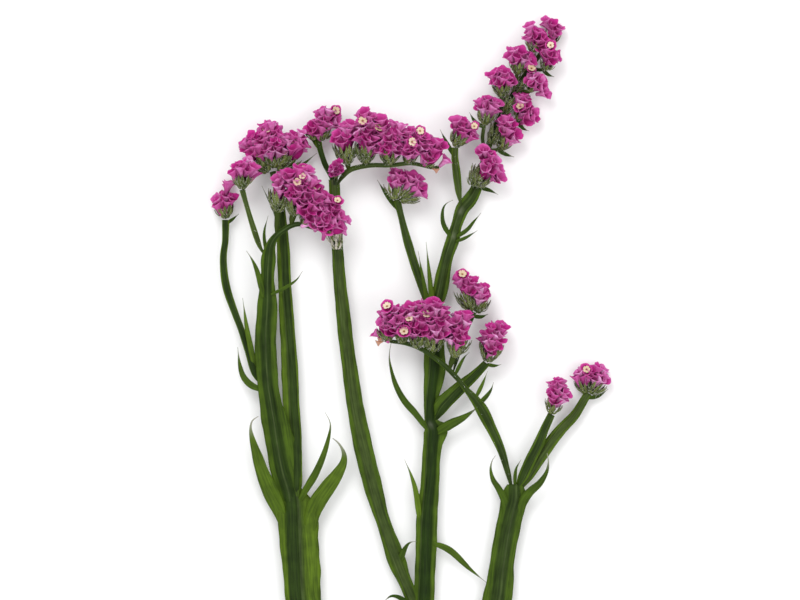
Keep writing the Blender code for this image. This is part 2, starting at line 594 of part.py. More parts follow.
def floret_places(tufts, obstacles, turns):
    """For each floret of a head: its tuft, its way from the tuft's centre and how far its rim is.

    The places go round each tuft in rings. One that would stand in another tuft, too near a
    floret already placed or against a stem or another tuft's cup is left out.
    """
    taken = []
    for tuft in tufts:
        root, tip, width = tuft
        length, _, centre = tuft_sizes(root, tip, width)
        others = [other for other in tufts if other is not tuft]
        solid = [rod for owner, rod in obstacles if owner is not tuft]
        for ring, (lean, count) in enumerate(FLORET_RINGS):
            start = turns.uniform(0, RING_SHIFT) + RING_TURN * ring
            for i in range(count):
                shift = turns.uniform(-FLORET_SHIFT, FLORET_SHIFT)
                tilt = math.radians(lean + shift * (lean > 0))
                shift = turns.uniform(-FLORET_SHIFT, FLORET_SHIFT)
                turn = math.radians(start + 360 * i / count + shift)
                flat = Vector((math.cos(turn), math.sin(turn), 0))
                way = flat * math.sin(tilt) + Vector((0, 0, math.cos(tilt)))
                reach = 1 / math.hypot(way.xy.length / (width / 2), way.z / (length - centre))
                middle, rim = (
                    standing(root, tip) @ (Vector((0, 0, centre)) + way * reach * share) / MM
                    for share in (0.5, FLORET_REACH)
                )
                radius = rim_radius(tuft, reach)
                if (
                    all((rim - other).length > FLORET_SPACING * width / 2 for other in taken)
                    and all(out_of(other, rim) > NEIGHBOUR_CLEAR for other in others)
                    and gap_to(solid, middle) > radius / 2 + FLORET_CLEAR
                    and gap_to(solid, rim) > radius + FLORET_CLEAR
                ):
                    taken.append(rim)
                    yield tuft, way, reach


def rim_radius(tuft, reach):
    """A floret's radius at its rim, which grows with how far out it stands."""
    return FLORET_RIM * math.sqrt(reach * tuft[2] / 2)


def out_of(tuft, point):
    """How far out a point lies in a tuft: 0 at its centre and 1 at its florets' rims."""
    root, tip, width = tuft
    length, _, centre = tuft_sizes(root, tip, width)
    local = standing(root, tip).inverted() @ (point * MM)
    return math.hypot(local.xy.length / (width / 2), (local.z - centre) / (length - centre))


def cup_rod(tuft):
    """A tuft's cup, as a rod from its root to its rim: each end's place and radius."""
    root, tip, width = tuft
    length, height, _ = tuft_sizes(root, tip, width)
    rim = Vector(root).lerp(Vector(tip), height / length)
    return (Vector(root), CUP_NECK), (rim, CUP_WIDTH * width / 2)


def obstacles_of(stems, heads):
    """What a branch's florets keep clear of: each rod of its stems and cups, and its tuft."""
    for stations in stems:
        for start, end in zip(stations, stations[1:]):
            yield None, ((Vector(start[:3]), start[5]), (Vector(end[:3]), end[5]))
    for tufts in heads.values():
        for tuft in tufts:
            yield tuft, cup_rod(tuft)


def gap_to(rods, point):
    """How far a point is from the surface of the nearest rod."""
    nearest = math.inf
    for (start, start_radius), (end, end_radius) in rods:
        _, share = intersect_point_line(point, start, end)
        share = min(1, max(0, share))
        radius = start_radius + share * (end_radius - start_radius)
        nearest = min(nearest, (point - start.lerp(end, share)).length - radius)
    return nearest


def floret(tuft, way, reach, turns, name, collection):
    """A papery funnel: a five-sided cone, its wide end sunk to a pit."""
    root, tip, width = tuft
    _, _, centre = tuft_sizes(root, tip, width)
    near = FLORET_ROOT * reach
    far = FLORET_REACH * reach * turns.uniform(0.96, 1.03)
    mesh = bmesh.new()
    bmesh.ops.create_cone(
        mesh, cap_ends=True, cap_tris=True, segments=FLORET_SIDES,
        radius1=0, radius2=rim_radius(tuft, reach), depth=far - near,
    )
    bmesh.ops.remove_doubles(mesh, verts=mesh.verts, dist=0.001)
    bmesh.ops.translate(mesh, verts=mesh.verts, vec=(0, 0, (near + far) / 2))
    for vertex in mesh.verts:
        if vertex.co.z > 0.9 * far and vertex.co.xy.length < 0.1:
            vertex.co.z = near + FLORET_PIT * (far - near)
    spin = Matrix.Rotation(turns.uniform(0, math.tau / FLORET_SIDES), 4, "Z")
    lean = way.to_track_quat("Z", "Y").to_matrix().to_4x4()
    mesh.transform(standing(root, tip) @ Matrix.Translation((0, 0, centre)) @ lean @ spin)
    return add_mesh(mesh, name, collection)


def material(name, colour, roughness):
    made = bpy.data.materials.new(name)
    made.use_nodes = True
    shader = made.node_tree.nodes["Principled BSDF"]
    shader.inputs["Base Color"].default_value = (*colour, 1)
    shader.inputs["Roughness"].default_value = roughness
    shader.inputs["Metallic"].default_value = 0
    made.diffuse_color = (*colour, 1)
    return made


def new_collection(name):
    made = bpy.data.collections.new(name)
    bpy.context.scene.collection.children.link(made)
    return made


def fuse(first, pieces, name, finish):
    """Joins a node's pieces to the first one by a Boolean union, and drops the pieces."""
    join = first.modifiers.new("Join", "BOOLEAN")
    join.operation = "UNION"
    join.solver = "EXACT"
    join.operand_type = "COLLECTION"
    join.collection = pieces
    graph = bpy.context.evaluated_depsgraph_get()
    joined = bpy.data.meshes.new_from_object(first.evaluated_get(graph))
    first.modifiers.clear()
    first.data = joined
    first.name = name
    joined.materials.clear()
    joined.materials.append(finish)
    joined.shade_smooth()
    joined.set_sharp_from_angle(angle=math.radians(SMOOTH_UNDER))
    for piece in list(pieces.objects):
        bpy.data.objects.remove(piece)
    bpy.data.collections.remove(pieces)
    return first


def leafy_stem(name, first, forks, stubs, leaves, heads, finish):
    """One leafy stem: its forks, the stubs of its side stems, its leaves and its heads' cups."""
    pieces = new_collection(name + "_pieces")
    for stations in forks:
        stem(stations, name + "_fork", pieces)
    for stations in stubs:
        stub(stations, name + "_stub", pieces)
    for width, *points in leaves:
        leaf(width, points, name + "_leaf", pieces)
    for tufts in heads.values():
        for tuft in tufts:
            cup(tuft, name + "_cup", pieces)
    return fuse(first, pieces, name, finish)


def flower_head(name, tufts, obstacles, finish, plant, turns):
    """One head: the florets of all its tufts, fused to their cores."""
    pieces = new_collection(name + "_pieces")
    first = core(tufts[0], name, plant)
    for before, tuft in zip(tufts, tufts[1:]):
        core(tuft, name + "_core", pieces)
        link(before, tuft, name + "_link", pieces)
    for tuft, way, reach in floret_places(tufts, obstacles, turns):
        floret(tuft, way, reach, turns, name + "_floret", pieces)
    return fuse(first, pieces, name, finish)


def rest_on_surface(nodes):
    """Cuts each node that dips below the surface flat where it rests, and centres the part."""
    cutters = new_collection("cutters")
    mesh = bmesh.new()
    bmesh.ops.create_cube(mesh, size=1)
    bmesh.ops.translate(mesh, verts=mesh.verts, vec=(0, 0, -0.5))
    surface = add_mesh(mesh, "surface", cutters)
    surface.hide_render = True
    surface.display_type = "WIRE"
    corners = [vertex.co for node in nodes for vertex in node.data.vertices]
    middle = [(min(c[i] for c in corners) + max(c[i] for c in corners)) / 2 for i in (0, 1)]
    for node in nodes:
        if min(vertex.co.z for vertex in node.data.vertices) < 0:
            cut = node.modifiers.new("Rest", "BOOLEAN")
            cut.operation = "DIFFERENCE"
            cut.object = surface
        node.location = (-middle[0], -middle[1], 0)


def main():
    for item in list(bpy.data.objects):
        bpy.data.objects.remove(item)
    plant = new_collection("dried_statice")
    green = material("statice_green", (0.075, 0.135, 0.03), 0.6)
    pink = material("statice_pink", (0.42, 0.06, 0.25), 0.75)
    turns = random.Random(SEED)

    leafy_stem(
        "main_stem", stem(MAIN_STEM, "main_stem", plant), (),
        (LEFT_STEM, CENTRE_STEM, RIGHT_STEM), MAIN_LEAVES, {}, green,
    )
    leafy_stem(
        "left_branch", side_stem(LEFT_STEM, "left_branch", plant),
        FORKS["left"], (), LEFT_LEAVES, HEADS["left"], green,
    )
    leafy_stem(
        "middle_branch", side_stem(MIDDLE_STEM, "middle_branch", plant),
        FORKS["middle"], (), MIDDLE_LEAVES, HEADS["middle"], green,
    )
    leafy_stem(
        "centre_branch", side_stem(CENTRE_STEM, "centre_branch", plant),
        FORKS["centre"], (MIDDLE_STEM,), CENTRE_LEAVES, HEADS["centre"], green,
    )
    leafy_stem(
        "right_branch", side_stem(RIGHT_STEM, "right_branch", plant),
        FORKS["right"], (), RIGHT_LEAVES, HEADS["right"], green,
    )
    for side, heads in HEADS.items():
        obstacles = list(obstacles_of(FORKS[side], heads))
        for name, tufts in heads.items():
            flower_head(name + "_florets", tufts, obstacles, pink, plant, turns)
    rest_on_surface(list(plant.objects))


main()
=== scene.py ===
"""The looks of one cut stem of pink statice that lies on a pale table, seen from straight above."""

import json
import math
import random

import bmesh
import bpy
import numpy as np
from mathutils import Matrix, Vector

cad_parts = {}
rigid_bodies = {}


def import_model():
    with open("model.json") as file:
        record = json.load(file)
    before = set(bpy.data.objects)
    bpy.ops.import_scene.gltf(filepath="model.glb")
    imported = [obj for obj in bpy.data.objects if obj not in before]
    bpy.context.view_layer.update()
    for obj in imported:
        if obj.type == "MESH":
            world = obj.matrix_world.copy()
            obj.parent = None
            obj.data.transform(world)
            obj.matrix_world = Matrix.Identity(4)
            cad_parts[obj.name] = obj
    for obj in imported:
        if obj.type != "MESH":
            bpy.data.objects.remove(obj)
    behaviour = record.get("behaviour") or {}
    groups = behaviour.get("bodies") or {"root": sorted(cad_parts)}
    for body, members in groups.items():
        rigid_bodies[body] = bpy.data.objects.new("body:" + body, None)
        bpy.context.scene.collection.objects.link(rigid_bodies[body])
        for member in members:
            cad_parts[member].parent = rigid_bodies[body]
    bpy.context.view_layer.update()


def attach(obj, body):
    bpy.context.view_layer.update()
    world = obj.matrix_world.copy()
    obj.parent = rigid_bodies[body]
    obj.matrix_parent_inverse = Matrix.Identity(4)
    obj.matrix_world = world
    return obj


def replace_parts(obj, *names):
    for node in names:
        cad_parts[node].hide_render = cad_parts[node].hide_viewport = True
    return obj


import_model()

# The winged stems. Each is a ribbed green core with a thin leafy wing along either side, and its
# forks grow out of it. Lengths are in millimetres in the plane of the photograph, with the origin
# at its middle: X to the right, Y up the plant and Z up from the table.
MM = 0.001
PLACE_IN_FRAME = Vector((-5.05, 73.94, 0))

# Stations along a stem: x, y, z, then the reach of its left and right wing and its core's radius.
MAIN_STEM = (
    (2, -290, 2.5, 5, 5.4, 3.4), (2.6, -276, 2.4, 5.6, 6.2, 3.3), (3.4, -258, 2.5, 6.4, 7, 3.3),
    (4.4, -240, 3.8, 7.4, 7.8, 3.2), (5.4, -226, 4.6, 9, 9.4, 3.3), (6, -216, 5.2, 8, 8, 3.3),
)
LEFT_STEM = (
    (-1, -222, 5.2, 3.6, 5, 2.9), (-10, -211, 5.8, 4, 6, 2.9), (-22, -199, 6.2, 5, 8, 2.9),
    (-37, -182, 6.6, 5.5, 10, 3), (-47, -164, 6.8, 5.5, 11.5, 3), (-51.5, -150, 7, 5.5, 12.5, 3),
    (-52.6, -132, 7.2, 6.2, 12.6, 3), (-53.4, -112, 7.6, 7.6, 12.6, 3),
    (-53.8, -102, 7.7, 7.8, 10.8, 2.8), (-54.6, -94, 7.4, 6, 5.4, 2.3), (-55.6, -86, 7, 3, 3, 1.6),
)
LEFT_FORK = (
    (-54.2, -108, 7.4, 3, 3, 2.4), (-55.4, -97, 8.3, 6, 5.8, 2.7), (-58.8, -85, 8.8, 5.7, 8.6, 2.6),
    (-61.2, -72, 9.2, 5.8, 8.8, 2.5), (-63, -60, 9.7, 6.1, 6.8, 2.4), (-64.6, -50, 10.2, 5.5, 5.4, 2.2),
    (-66, -40, 10.6, 5.4, 5.2, 2.1), (-67, -20, 11.8, 5.4, 5.4, 2), (-66, -2, 13.4, 5, 4.8, 1.9),
    (-66, 10, 15, 3.4, 3.4, 1.8), (-65.5, 20, 17.2, 3.8, 3.6, 1.7), (-64.5, 27, 19, 2.4, 2.6, 1.5),
    (-61.5, 32, 20.4, 1.6, 1.6, 1.3), (-57.5, 35, 21.4, 1.4, 1.4, 1.2), (-53.5, 37.2, 22, 1.3, 1.3, 1.1),
    (-49, 37.8, 22.4, 1.2, 1.2, 1), (-44.5, 36.4, 22.6, 1.1, 1.1, 0.9), (-39.5, 35, 22.6, 1, 1, 0.9),
    (-34.5, 33, 22.4, 0.8, 0.8, 0.7),
)
RIGHT_FORK = (
    (-52.6, -103, 7, 2.6, 2.6, 2), (-51.6, -91, 7.6, 4, 2.7, 2), (-51.5, -78, 7.8, 5, 2.7, 2),
    (-51.9, -66, 8, 5.8, 2.7, 2), (-52.9, -54, 8.2, 5.6, 2.9, 1.9), (-53.8, -34, 8.2, 5.4, 2.9, 1.8),
    (-55.2, -14, 8.2, 4.8, 2.7, 1.7), (-56.7, 6, 8.5, 4.1, 2.6, 1.6), (-57.7, 26, 9.2, 3.7, 2.6, 1.5),
    (-59.5, 44, 10.4, 2.4, 2.4, 1.4), (-61.5, 56, 11.6, 1.8, 1.8, 1.4), (-63.5, 64, 12.4, 1.6, 1.6, 1.3),
)
THIN_LEFT_STEM = (
    (-67, -44, 9.6, 2, 2, 1.5), (-72, -37, 9, 2, 2, 1.5), (-75.5, -26, 8.6, 1.8, 1.8, 1.4),
    (-79.5, -14, 8.2, 1.7, 1.7, 1.3), (-84, -2, 7.8, 1.8, 1.8, 1.3), (-87, 8, 7.4, 2, 2, 1.3),
    (-88.2, 20, 7, 1.8, 1.8, 1.2), (-87.2, 30, 6.8, 1.6, 1.6, 1.2), (-87, 40, 6.6, 1.9, 1.9, 1.2),
)
SECOND_HEAD_STALK = (
    (-66, 21, 16, 1.2, 1.2, 1), (-69.5, 26, 17, 1.3, 1.3, 1), (-73, 36, 19, 1.4, 1.4, 1),
    (-76, 46, 20.4, 1.2, 1.2, 1), (-78.5, 55, 21.4, 1.4, 1.4, 1),
)
MIDDLE_STEM = (
    (9, -156, 7.2, 3.4, 3.2, 2), (2.2, -139.5, 7.2, 3.6, 3.4, 2), (-1.5, -130, 7.4, 4.6, 4.4, 2.1),
    (-8.5, -110, 7.6, 3.6, 3.6, 2.1), (-14.2, -90, 7.8, 4.8, 4.6, 2.1), (-20, -65, 8.2, 4.6, 4.4, 2),
    (-23.5, -45, 8.4, 4, 4, 2), (-26.2, -25, 8.6, 3.8, 3.6, 1.9), (-28.5, -5, 8.8, 3.6, 3.4, 1.8),
    (-30.5, 15, 9, 3, 3, 1.7), (-31.8, 35, 9.4, 2.8, 2.8, 1.6), (-32.6, 52, 10.4, 2.8, 2.8, 1.6),
    (-32.8, 60, 11.2, 2.8, 2.8, 1.5),
)
SIXTH_HEAD_STALK = (
    (-33.2, 57, 11, 1.6, 1.6, 1.2), (-35, 63, 11, 1.4, 1.4, 1.1), (-37.5, 68, 11.2, 1.4, 1.4, 1.1),
    (-39.5, 74, 11.4, 1.4, 1.4, 1.1), (-41, 80, 11.6, 1.6, 1.6, 1.1),
)
SEVENTH_HEAD_STALK = (
    (-32.8, 57, 11.6, 1.3, 1.3, 1.1), (-32.2, 59.6, 14.4, 1.2, 1.2, 1), (-32.2, 61, 16.6, 1.3, 1.3, 1),
)
EIGHTH_SPRAY_STALK = (
    (-32.2, 56, 11.2, 1.8, 1.8, 1.4), (-29, 61, 13.6, 1.5, 1.5, 1.3), (-24.5, 65, 16.6, 1.3, 1.3, 1.1),
    (-15, 67, 19.4, 1.2, 1.2, 1), (-5, 67, 20.4, 1.1, 1.1, 0.9), (5, 68, 20.8, 1, 1, 0.8),
    (11, 67, 20.8, 0.9, 0.9, 0.7), (15.5, 65.8, 20.7, 0.8, 0.8, 0.6), (19.5, 66.2, 20.8, 0.7, 0.7, 0.6),
)
CENTRE_STEM = (
    (6.2, -222, 5.4, 5.6, 5.6, 3), (6.8, -209, 5.9, 5.6, 5.6, 3), (9, -184, 6.4, 5.4, 5.4, 2.9),
    (11.8, -150, 7, 5, 5.2, 2.7), (13.4, -110, 7.6, 5.2, 5.4, 2.5), (15, -90, 8, 4.6, 4.6, 2.4),
    (16, -74, 8.2, 4.6, 4.8, 2.4), (16.6, -65, 8.4, 4.8, 7, 2.4), (15, -60, 8.4, 2.8, 3.6, 2.2),
    (15.4, -48, 8.6, 3.6, 4.2, 2.1), (16.8, -36, 8.8, 5, 5.8, 2.1), (17.2, -27, 9, 5.2, 5.2, 2.1),
    (16.8, -10, 9.4, 4.4, 5, 2), (17.4, -3, 9.6, 3.8, 4.4, 1.9),
)
NINTH_HEAD_STALK = (
    (16, -8, 9.4, 1.8, 1.8, 1.4), (13.2, 0, 9.8, 1.8, 1.8, 1.3), (10, 10, 10.4, 2.2, 2, 1.3),
    (6.5, 20, 11, 2.1, 2.1, 1.3), (3.5, 30, 11.6, 2.1, 2.1, 1.2), (1, 40, 12, 1.6, 1.6, 1.2),
    (-1.5, 50, 12.2, 1.8, 1.8, 1.2),
)
SPIKE_STEM = (
    (17.4, -8, 9.4, 2.8, 3.4, 1.9), (20.6, 8, 10, 3.8, 3.8, 1.8), (23, 20, 10.4, 3, 3.2, 1.8),
    (26.2, 30, 10.6, 3.4, 3.4, 1.8), (28, 37, 10.4, 2.6, 2.8, 1.7), (31, 45, 9.6, 3.4, 3.4, 1.6),
    (35, 50, 8.4, 3.6, 3.4, 1.5), (38.4, 56, 6.8, 3, 2.6, 1.4), (41, 66, 4.2, 1.8, 1.8, 1.2),
    (45, 79, 4.4, 1.6, 1.6, 1.1), (50, 91, 4.4, 1.5, 1.5, 1.1), (57, 103.5, 4.4, 1.4, 1.4, 1),
    (63.8, 114.5, 4.4, 1.3, 1.3, 1), (70, 122.5, 4.4, 1.2, 1.2, 0.9), (75.4, 127.6, 4.8, 1.2, 1.2, 0.9),
)
TENTH_HEAD_STALK = (
    (31, 45, 9.8, 1.3, 1.3, 1), (29.4, 53, 10.8, 1.6, 1.6, 1.1), (28.4, 62, 11.6, 2, 2, 1.1),
    (27.4, 70, 12.2, 1.8, 1.8, 1.1), (27.5, 76, 12.4, 1.6, 1.6, 1.1),
)
SPIKE_STALK_RADIUS = 0.9
SPIKE_HEAD_STALKS = [
    [(*point, *3 * (SPIKE_STALK_RADIUS,)) for point in points]
    for points in (
        ((43.2, 72.6, 4.6), (41.2, 80, 8.2), (42, 87.4, 11.4)),
        ((43.6, 75.2, 4.6), (47, 74.8, 6.2), (50.2, 75.4, 8)),
        ((51, 93, 4.6), (50.2, 97, 7.8), (50.6, 101.4, 10.6)),
        ((50.2, 91.4, 4), (54.6, 89.9, 3.4), (58.8, 89.9, 5)),
        ((57.8, 105, 4.6), (57.6, 108.8, 7.6), (58.4, 112.8, 10)),
        ((58.2, 105.2, 4.6), (61.6, 104.2, 6.8), (64.7, 104, 9.4)),
        ((66.2, 117.8, 4.6), (67, 120.6, 7), (66.6, 123.8, 9.8)),
        ((65, 116, 4.6), (68.4, 115, 6.4), (71.6, 115, 8.6)),
    )
]
TWENTY_SECOND_HEAD_STALK = (
    (16.2, -62, 8.6, 2.4, 2.4, 1.7), (22, -53.5, 10, 5.6, 2.2, 1.6), (31, -44, 10.6, 4.2, 2.4, 1.5),
    (37.5, -37.5, 11, 2.6, 2.2, 1.3), (43, -31.5, 11.4, 1.9, 1.9, 1.2),
)
RIGHT_STEM = (
    (13, -222, 5.2, 3.6, 4.4, 2.8), (20, -210, 5.8, 4.8, 4.6, 2.8), (31, -194, 6.2, 5.6, 5.4, 2.8),
    (41.5, -173, 6.8, 6.4, 6.4, 2.8), (48.4, -150, 7, 7.2, 7.2, 2.8), (51, -130, 7.2, 6, 6.2, 2.7),
    (54.5, -110, 7.6, 6, 6.2, 2.6), (56.8, -100, 7.8, 6.4, 6.6, 2.6), (57, -95.5, 7.9, 5.6, 6, 2.5),
    (57, -92, 8, 3.4, 3.6, 2.3),
)
LEFT_BRANCHLET = (
    (56, -95, 8.4, 2, 2, 1.4), (53.8, -86, 9.8, 1.5, 1.5, 1.3), (50.5, -75, 11, 2, 2, 1.3),
    (46, -65, 12.2, 2.6, 2.6, 1.3), (41.4, -55.5, 13.4, 3.2, 3, 1.3), (38, -50.5, 14.6, 2.4, 2.4, 1.3),
    (32.5, -44, 17.4, 1.4, 1.4, 1.1), (28.5, -39, 18.8, 1.3, 1.3, 1.1), (21.5, -32, 20, 1.3, 1.3, 1),
    (12.5, -25.5, 20.8, 1.2, 1.2, 1), (4, -21.8, 21.2, 1.1, 1.1, 0.9), (-4, -20.6, 21.4, 0.9, 0.9, 0.8),
    (-7.5, -20.2, 21.4, 0.7, 0.7, 0.6),
)
TWENTY_FIRST_HEAD_STALK = (
    (26.2, -37, 18.2, 1.1, 1.1, 0.9), (29, -27, 14.6, 1.1, 1.1, 0.9), (33, -15, 12.4, 1.2, 1.2, 1),
    (36.8, -6, 12.2, 1.4, 1.4, 1),
)
TWENTY_FOURTH_HEAD_STALK = (
    (57.5, -96, 8.4, 2.8, 2.8, 1.6), (61.5, -87.5, 9.2, 2.6, 2.8, 1.5), (65.5, -79, 9.8, 2.8, 2.8, 1.5),
    (69, -72, 10.2, 2.6, 2.6, 1.4), (71.8, -65, 10.6, 2.2, 2.2, 1.3), (75.5, -57, 11, 1.9, 1.9, 1.2),
)
TWENTY_FIFTH_HEAD_STALK = (
    (59, -96, 8, 2.6, 2.6, 1.6), (66, -84.5, 7.4, 2.8, 2.8, 1.5), (72.5, -75, 7, 3, 3, 1.5),
    (80, -65, 6.4, 2.8, 2.8, 1.4), (87.5, -57, 6, 2.4, 2.4, 1.3), (94, -46.5, 5.6, 1.9, 1.9, 1.2),
)

# Each branch's stems: how light the core is and how light the wings are, from 0 to 1, how hairy
# the stem is, which rib is pale, counted from the core's right edge, and the stations.
STEMS = {
    "main_stem": ((0.3, 0.5, 0, 3, MAIN_STEM),),
    "left_branch": (
        (0.1, 0.64, 0, 0, LEFT_STEM), (0.1, 0.3, 0, 3, LEFT_FORK), (0.15, 0.6, 0, 6, RIGHT_FORK),
        (0.05, 0.7, 0, 1, THIN_LEFT_STEM), (0.6, 0.9, 0.3, 2, SECOND_HEAD_STALK),
    ),
    "middle_branch": (
        (0.5, 0.35, 0, 5, MIDDLE_STEM), (0.1, 0.3, 0.5, 1, SIXTH_HEAD_STALK),
        (0.1, 0.3, 0.5, 1, SEVENTH_HEAD_STALK), (0.4, 0.7, 1, 2, EIGHTH_SPRAY_STALK),
    ),
    "centre_branch": (
        (0.02, 0.4, 0, 6, CENTRE_STEM), (0.3, 0.4, 0, 2, NINTH_HEAD_STALK),
        (0.25, 0.4, 0, 4, SPIKE_STEM), (0.5, 0.5, 0.4, 2, TENTH_HEAD_STALK),
        (0.1, 0.35, 0, 5, TWENTY_SECOND_HEAD_STALK),
        *((0.4, 0.5, 0.8, 3, stalk) for stalk in SPIKE_HEAD_STALKS),
    ),
    "right_branch": (
        (0.2, 0.3, 0, 2, RIGHT_STEM), (0.2, 0.4, 0.3, 2, LEFT_BRANCHLET),
        (0.2, 0.3, 0.8, 3, TWENTY_FIRST_HEAD_STALK), (0.15, 0.4, 0, 1, TWENTY_FOURTH_HEAD_STALK),
        (0.5, 0.5, 0, 5, TWENTY_FIFTH_HEAD_STALK),
    ),
}
# The nodes, where branches part, have a small pale callus.
NODES = np.array((
    (15, -62.4, 11.5), (26.5, 32, 13), (-50, -97.4, 10.5), (-32.8, 59, 13), (30, 44.5, 11.6),
))

# How far apart a stem's sections are, and where a section has points: at these angles over the
# core and at these shares of the way out along a wing.
STATION_STEP = 1.6
CORE_TURNS = np.radians((70, 46, 23, 0, -23, -46, -70))
WING_SHARES = np.array((1, 0.72, 0.4))
# The core's shape in shares of its radius, and half of a wing's thickness at its root and edge.
CORE_EDGE = 0.94
RIB_HEIGHT = 0.07
RIBS_ROUND = 8
UNDERSIDE = 0.8
WING_LEAST = 1.03
WING_ROOT_HALF = 0.42
WING_EDGE_HALF = 0.14
# The waves of a wing: their height as a share of its width, and how uneven its edge is.
WAVE_SHARE = 0.08
WAVE_SIZES = (0.7, 0.4)
WAVE_LENGTHS = (29.0, 11.3)
EDGE_WOBBLE = 0.035
# A fork starts inside its stem at a share of its own size, and is full-sized further along.
EMERGES_FROM = 0.3
EMERGES_OVER = 11.0
EMERGES_SHARE = 0.35
CALLUS_RADIUS = 1.5
CALLUS_DRY = 0.22
CUT_RIM = 0.86
CUT_DRY = 0.6
TABLE_CLEAR = 0.12


def smoothed(stations, step):
    """Stations about one step apart on a smooth curve through the given ones."""
    stations = np.array(stations, float)
    ends = 2 * stations[:1] - stations[1:2], 2 * stations[-1:] - stations[-2:-1]
    path = np.vstack([ends[0], stations, ends[1]])
    rows = []
    for before, start, end, after in zip(path, path[1:], path[2:], path[3:]):
        count = max(2, round(np.linalg.norm((end - start)[:3]) / step))
        bend = 2 * before - 5 * start + 4 * end - after
        twist = 3 * start - before - 3 * end + after
        for t in np.arange(count) / count:
            rows.append(start + 0.5 * ((end - before) * t + bend * t**2 + twist * t**3))
    return np.array([*rows, stations[-1]])


def directions(points):
    """At each point of a route: to its right and up from it, and how far along it is."""
    along = np.gradient(points, axis=0)
    along /= np.linalg.norm(along, axis=1)[:, None]
    side = np.cross(along, (0, 0, 1))
    side /= np.linalg.norm(side, axis=1)[:, None]
    steps = np.linalg.norm(np.diff(points, axis=0), axis=1)
    return side, np.cross(side, along), np.concatenate([[0], np.cumsum(steps)])


def sections(points, side, up, across, high, low):
    """The rings round a route whose sections have an upper and a lower row of points."""
    across, height = np.hstack([across, across[:, ::-1]]), np.hstack([high, low[:, ::-1]])
    return points[:, None] + side[:, None] * across[..., None] + up[:, None] * height[..., None], across


def skin(rings, marks):
    """A closed skin through rings of points, with what each point is marked with."""
    count, sides = rings.shape[:2]
    faces = [
        (row + i, row + (i + 1) % sides, row + sides + (i + 1) % sides, row + sides + i)
        for row in range(0, (count - 1) * sides, sides) for i in range(sides)
    ]
    faces += [tuple(range(sides)), tuple(range((count - 1) * sides, count * sides))]
    marks = {name: np.broadcast_to(mark, (count, sides)).ravel() for name, mark in marks.items()}
    return rings.reshape(-1, 3), faces, marks


def set_mark(data, mark, values):
    values = np.array(values, np.float32).ravel()
    data.attributes.new(mark, "FLOAT", "POINT").data.foreach_set("value", values)


def joined(name, skins, shift=(0, 0, 0)):
    """One mesh in metres from several closed skins with the same marks."""
    faces, start = [], 0
    for points, around, _ in skins:
        faces += [tuple(start + corner for corner in face) for face in around]
        start += len(points)
    data = bpy.data.meshes.new(name)
    points = np.vstack([points for points, *_ in skins]) + np.array(shift)
    data.from_pydata((points * MM).tolist(), [], faces)
    for mark in skins[0][2]:
        set_mark(data, mark, np.concatenate([marks[mark] for *_, marks in skins]))
    return data


def off_table(data):
    """Presses what would dip into the table flat on to it."""
    for vertex in data.vertices:
        vertex.co.z = max(vertex.co.z, TABLE_CLEAR * MM)


def set_out(name, data):
    """An object with the given data in the scene."""
    item = bpy.data.objects.new(name, data)
    bpy.context.scene.collection.objects.link(item)
    return item


def add_piece(name, data, material):
    """Puts a finished mesh in the scene: faces out, smooth, with its material, on the part."""
    mesh = bmesh.new()
    mesh.from_mesh(data)
    bmesh.ops.recalc_face_normals(mesh, faces=mesh.faces)
    mesh.to_mesh(data)
    mesh.free()
    data.shade_smooth()
    data.materials.clear()
    data.materials.append(material)
    item = set_out(name, data)
    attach(item, "root")
    return item


def wave(run, draws):
    """An uneven wave along an edge, between about -1 and 1."""
    phases = draws.uniform(0, math.tau), draws.uniform(0, math.tau)
    swing = zip(WAVE_SIZES, WAVE_LENGTHS, phases)
    return sum(size * np.sin(math.tau * run / length + phase) for size, length, phase in swing)[:, None]


def winged_stem(core_light, wing_light, hairy, rib, stations, draws):
    """One stem: ribbed core and wavy wings. It swells out of the stem that it grows from."""
    rows = smoothed(stations, STATION_STEP)
    side, up, run = directions(rows[:, :3])
    if stations is not MAIN_STEM:
        grown = np.clip(run / min(EMERGES_OVER, EMERGES_SHARE * run[-1]), 0, 1)[:, None]
        grown = EMERGES_FROM + (1 - EMERGES_FROM) * grown**2 * (3 - 2 * grown)
        rows[:, 2:3] -= (1 - grown) * rows[:, 5:6]
        rows[:, 3:] *= grown
    core = rows[:, 5:6]
    over = core * np.sin(CORE_TURNS)
    ribs = 1 + RIB_HEIGHT * np.cos(RIBS_ROUND * CORE_TURNS)
    top, under = core * np.cos(CORE_TURNS) * ribs, -UNDERSIDE * core * np.cos(CORE_TURNS)
    across, high, low, out = [over], [top], [under], [0 * over]
    for sign, reach in ((1, rows[:, 4:5]), (-1, rows[:, 3:4])):
        shares = WING_SHARES[::sign]
        reach = np.maximum(reach * (1 + EDGE_WOBBLE * wave(run, draws)), WING_LEAST * core)
        wide = CORE_EDGE * core + shares * (reach - CORE_EDGE * core)
        half = WING_ROOT_HALF + shares * (WING_EDGE_HALF - WING_ROOT_HALF)
        lift = WAVE_SHARE * (reach - core) * shares**2 * wave(run, draws)
        values = sign * wide, lift + half, lift - half, shares + 0 * wide
        for row, value in zip((across, high, low, out), values):
            row.insert(0 if sign > 0 else len(row), value)
    across, high, low, out = (np.hstack(row) for row in (across, high, low, out))
    rings, across = sections(rows[:, :3], side, up, across, high, low)
    ridge = np.zeros(across.shape[1])
    ridge[len(WING_SHARES) + rib] = 1
    near = np.linalg.norm(rings[:, :, None] - NODES, axis=3).min(axis=2)
    return rings, {
        "wing": np.hstack([out, out[:, ::-1]]), "ridge": ridge, "core_light": core_light,
        "wing_light": wing_light, "hairy": hairy, "across": across, "run": run[:, None],
        "dry": CALLUS_DRY * np.exp(-((near / CALLUS_RADIUS) ** 2)),
    }


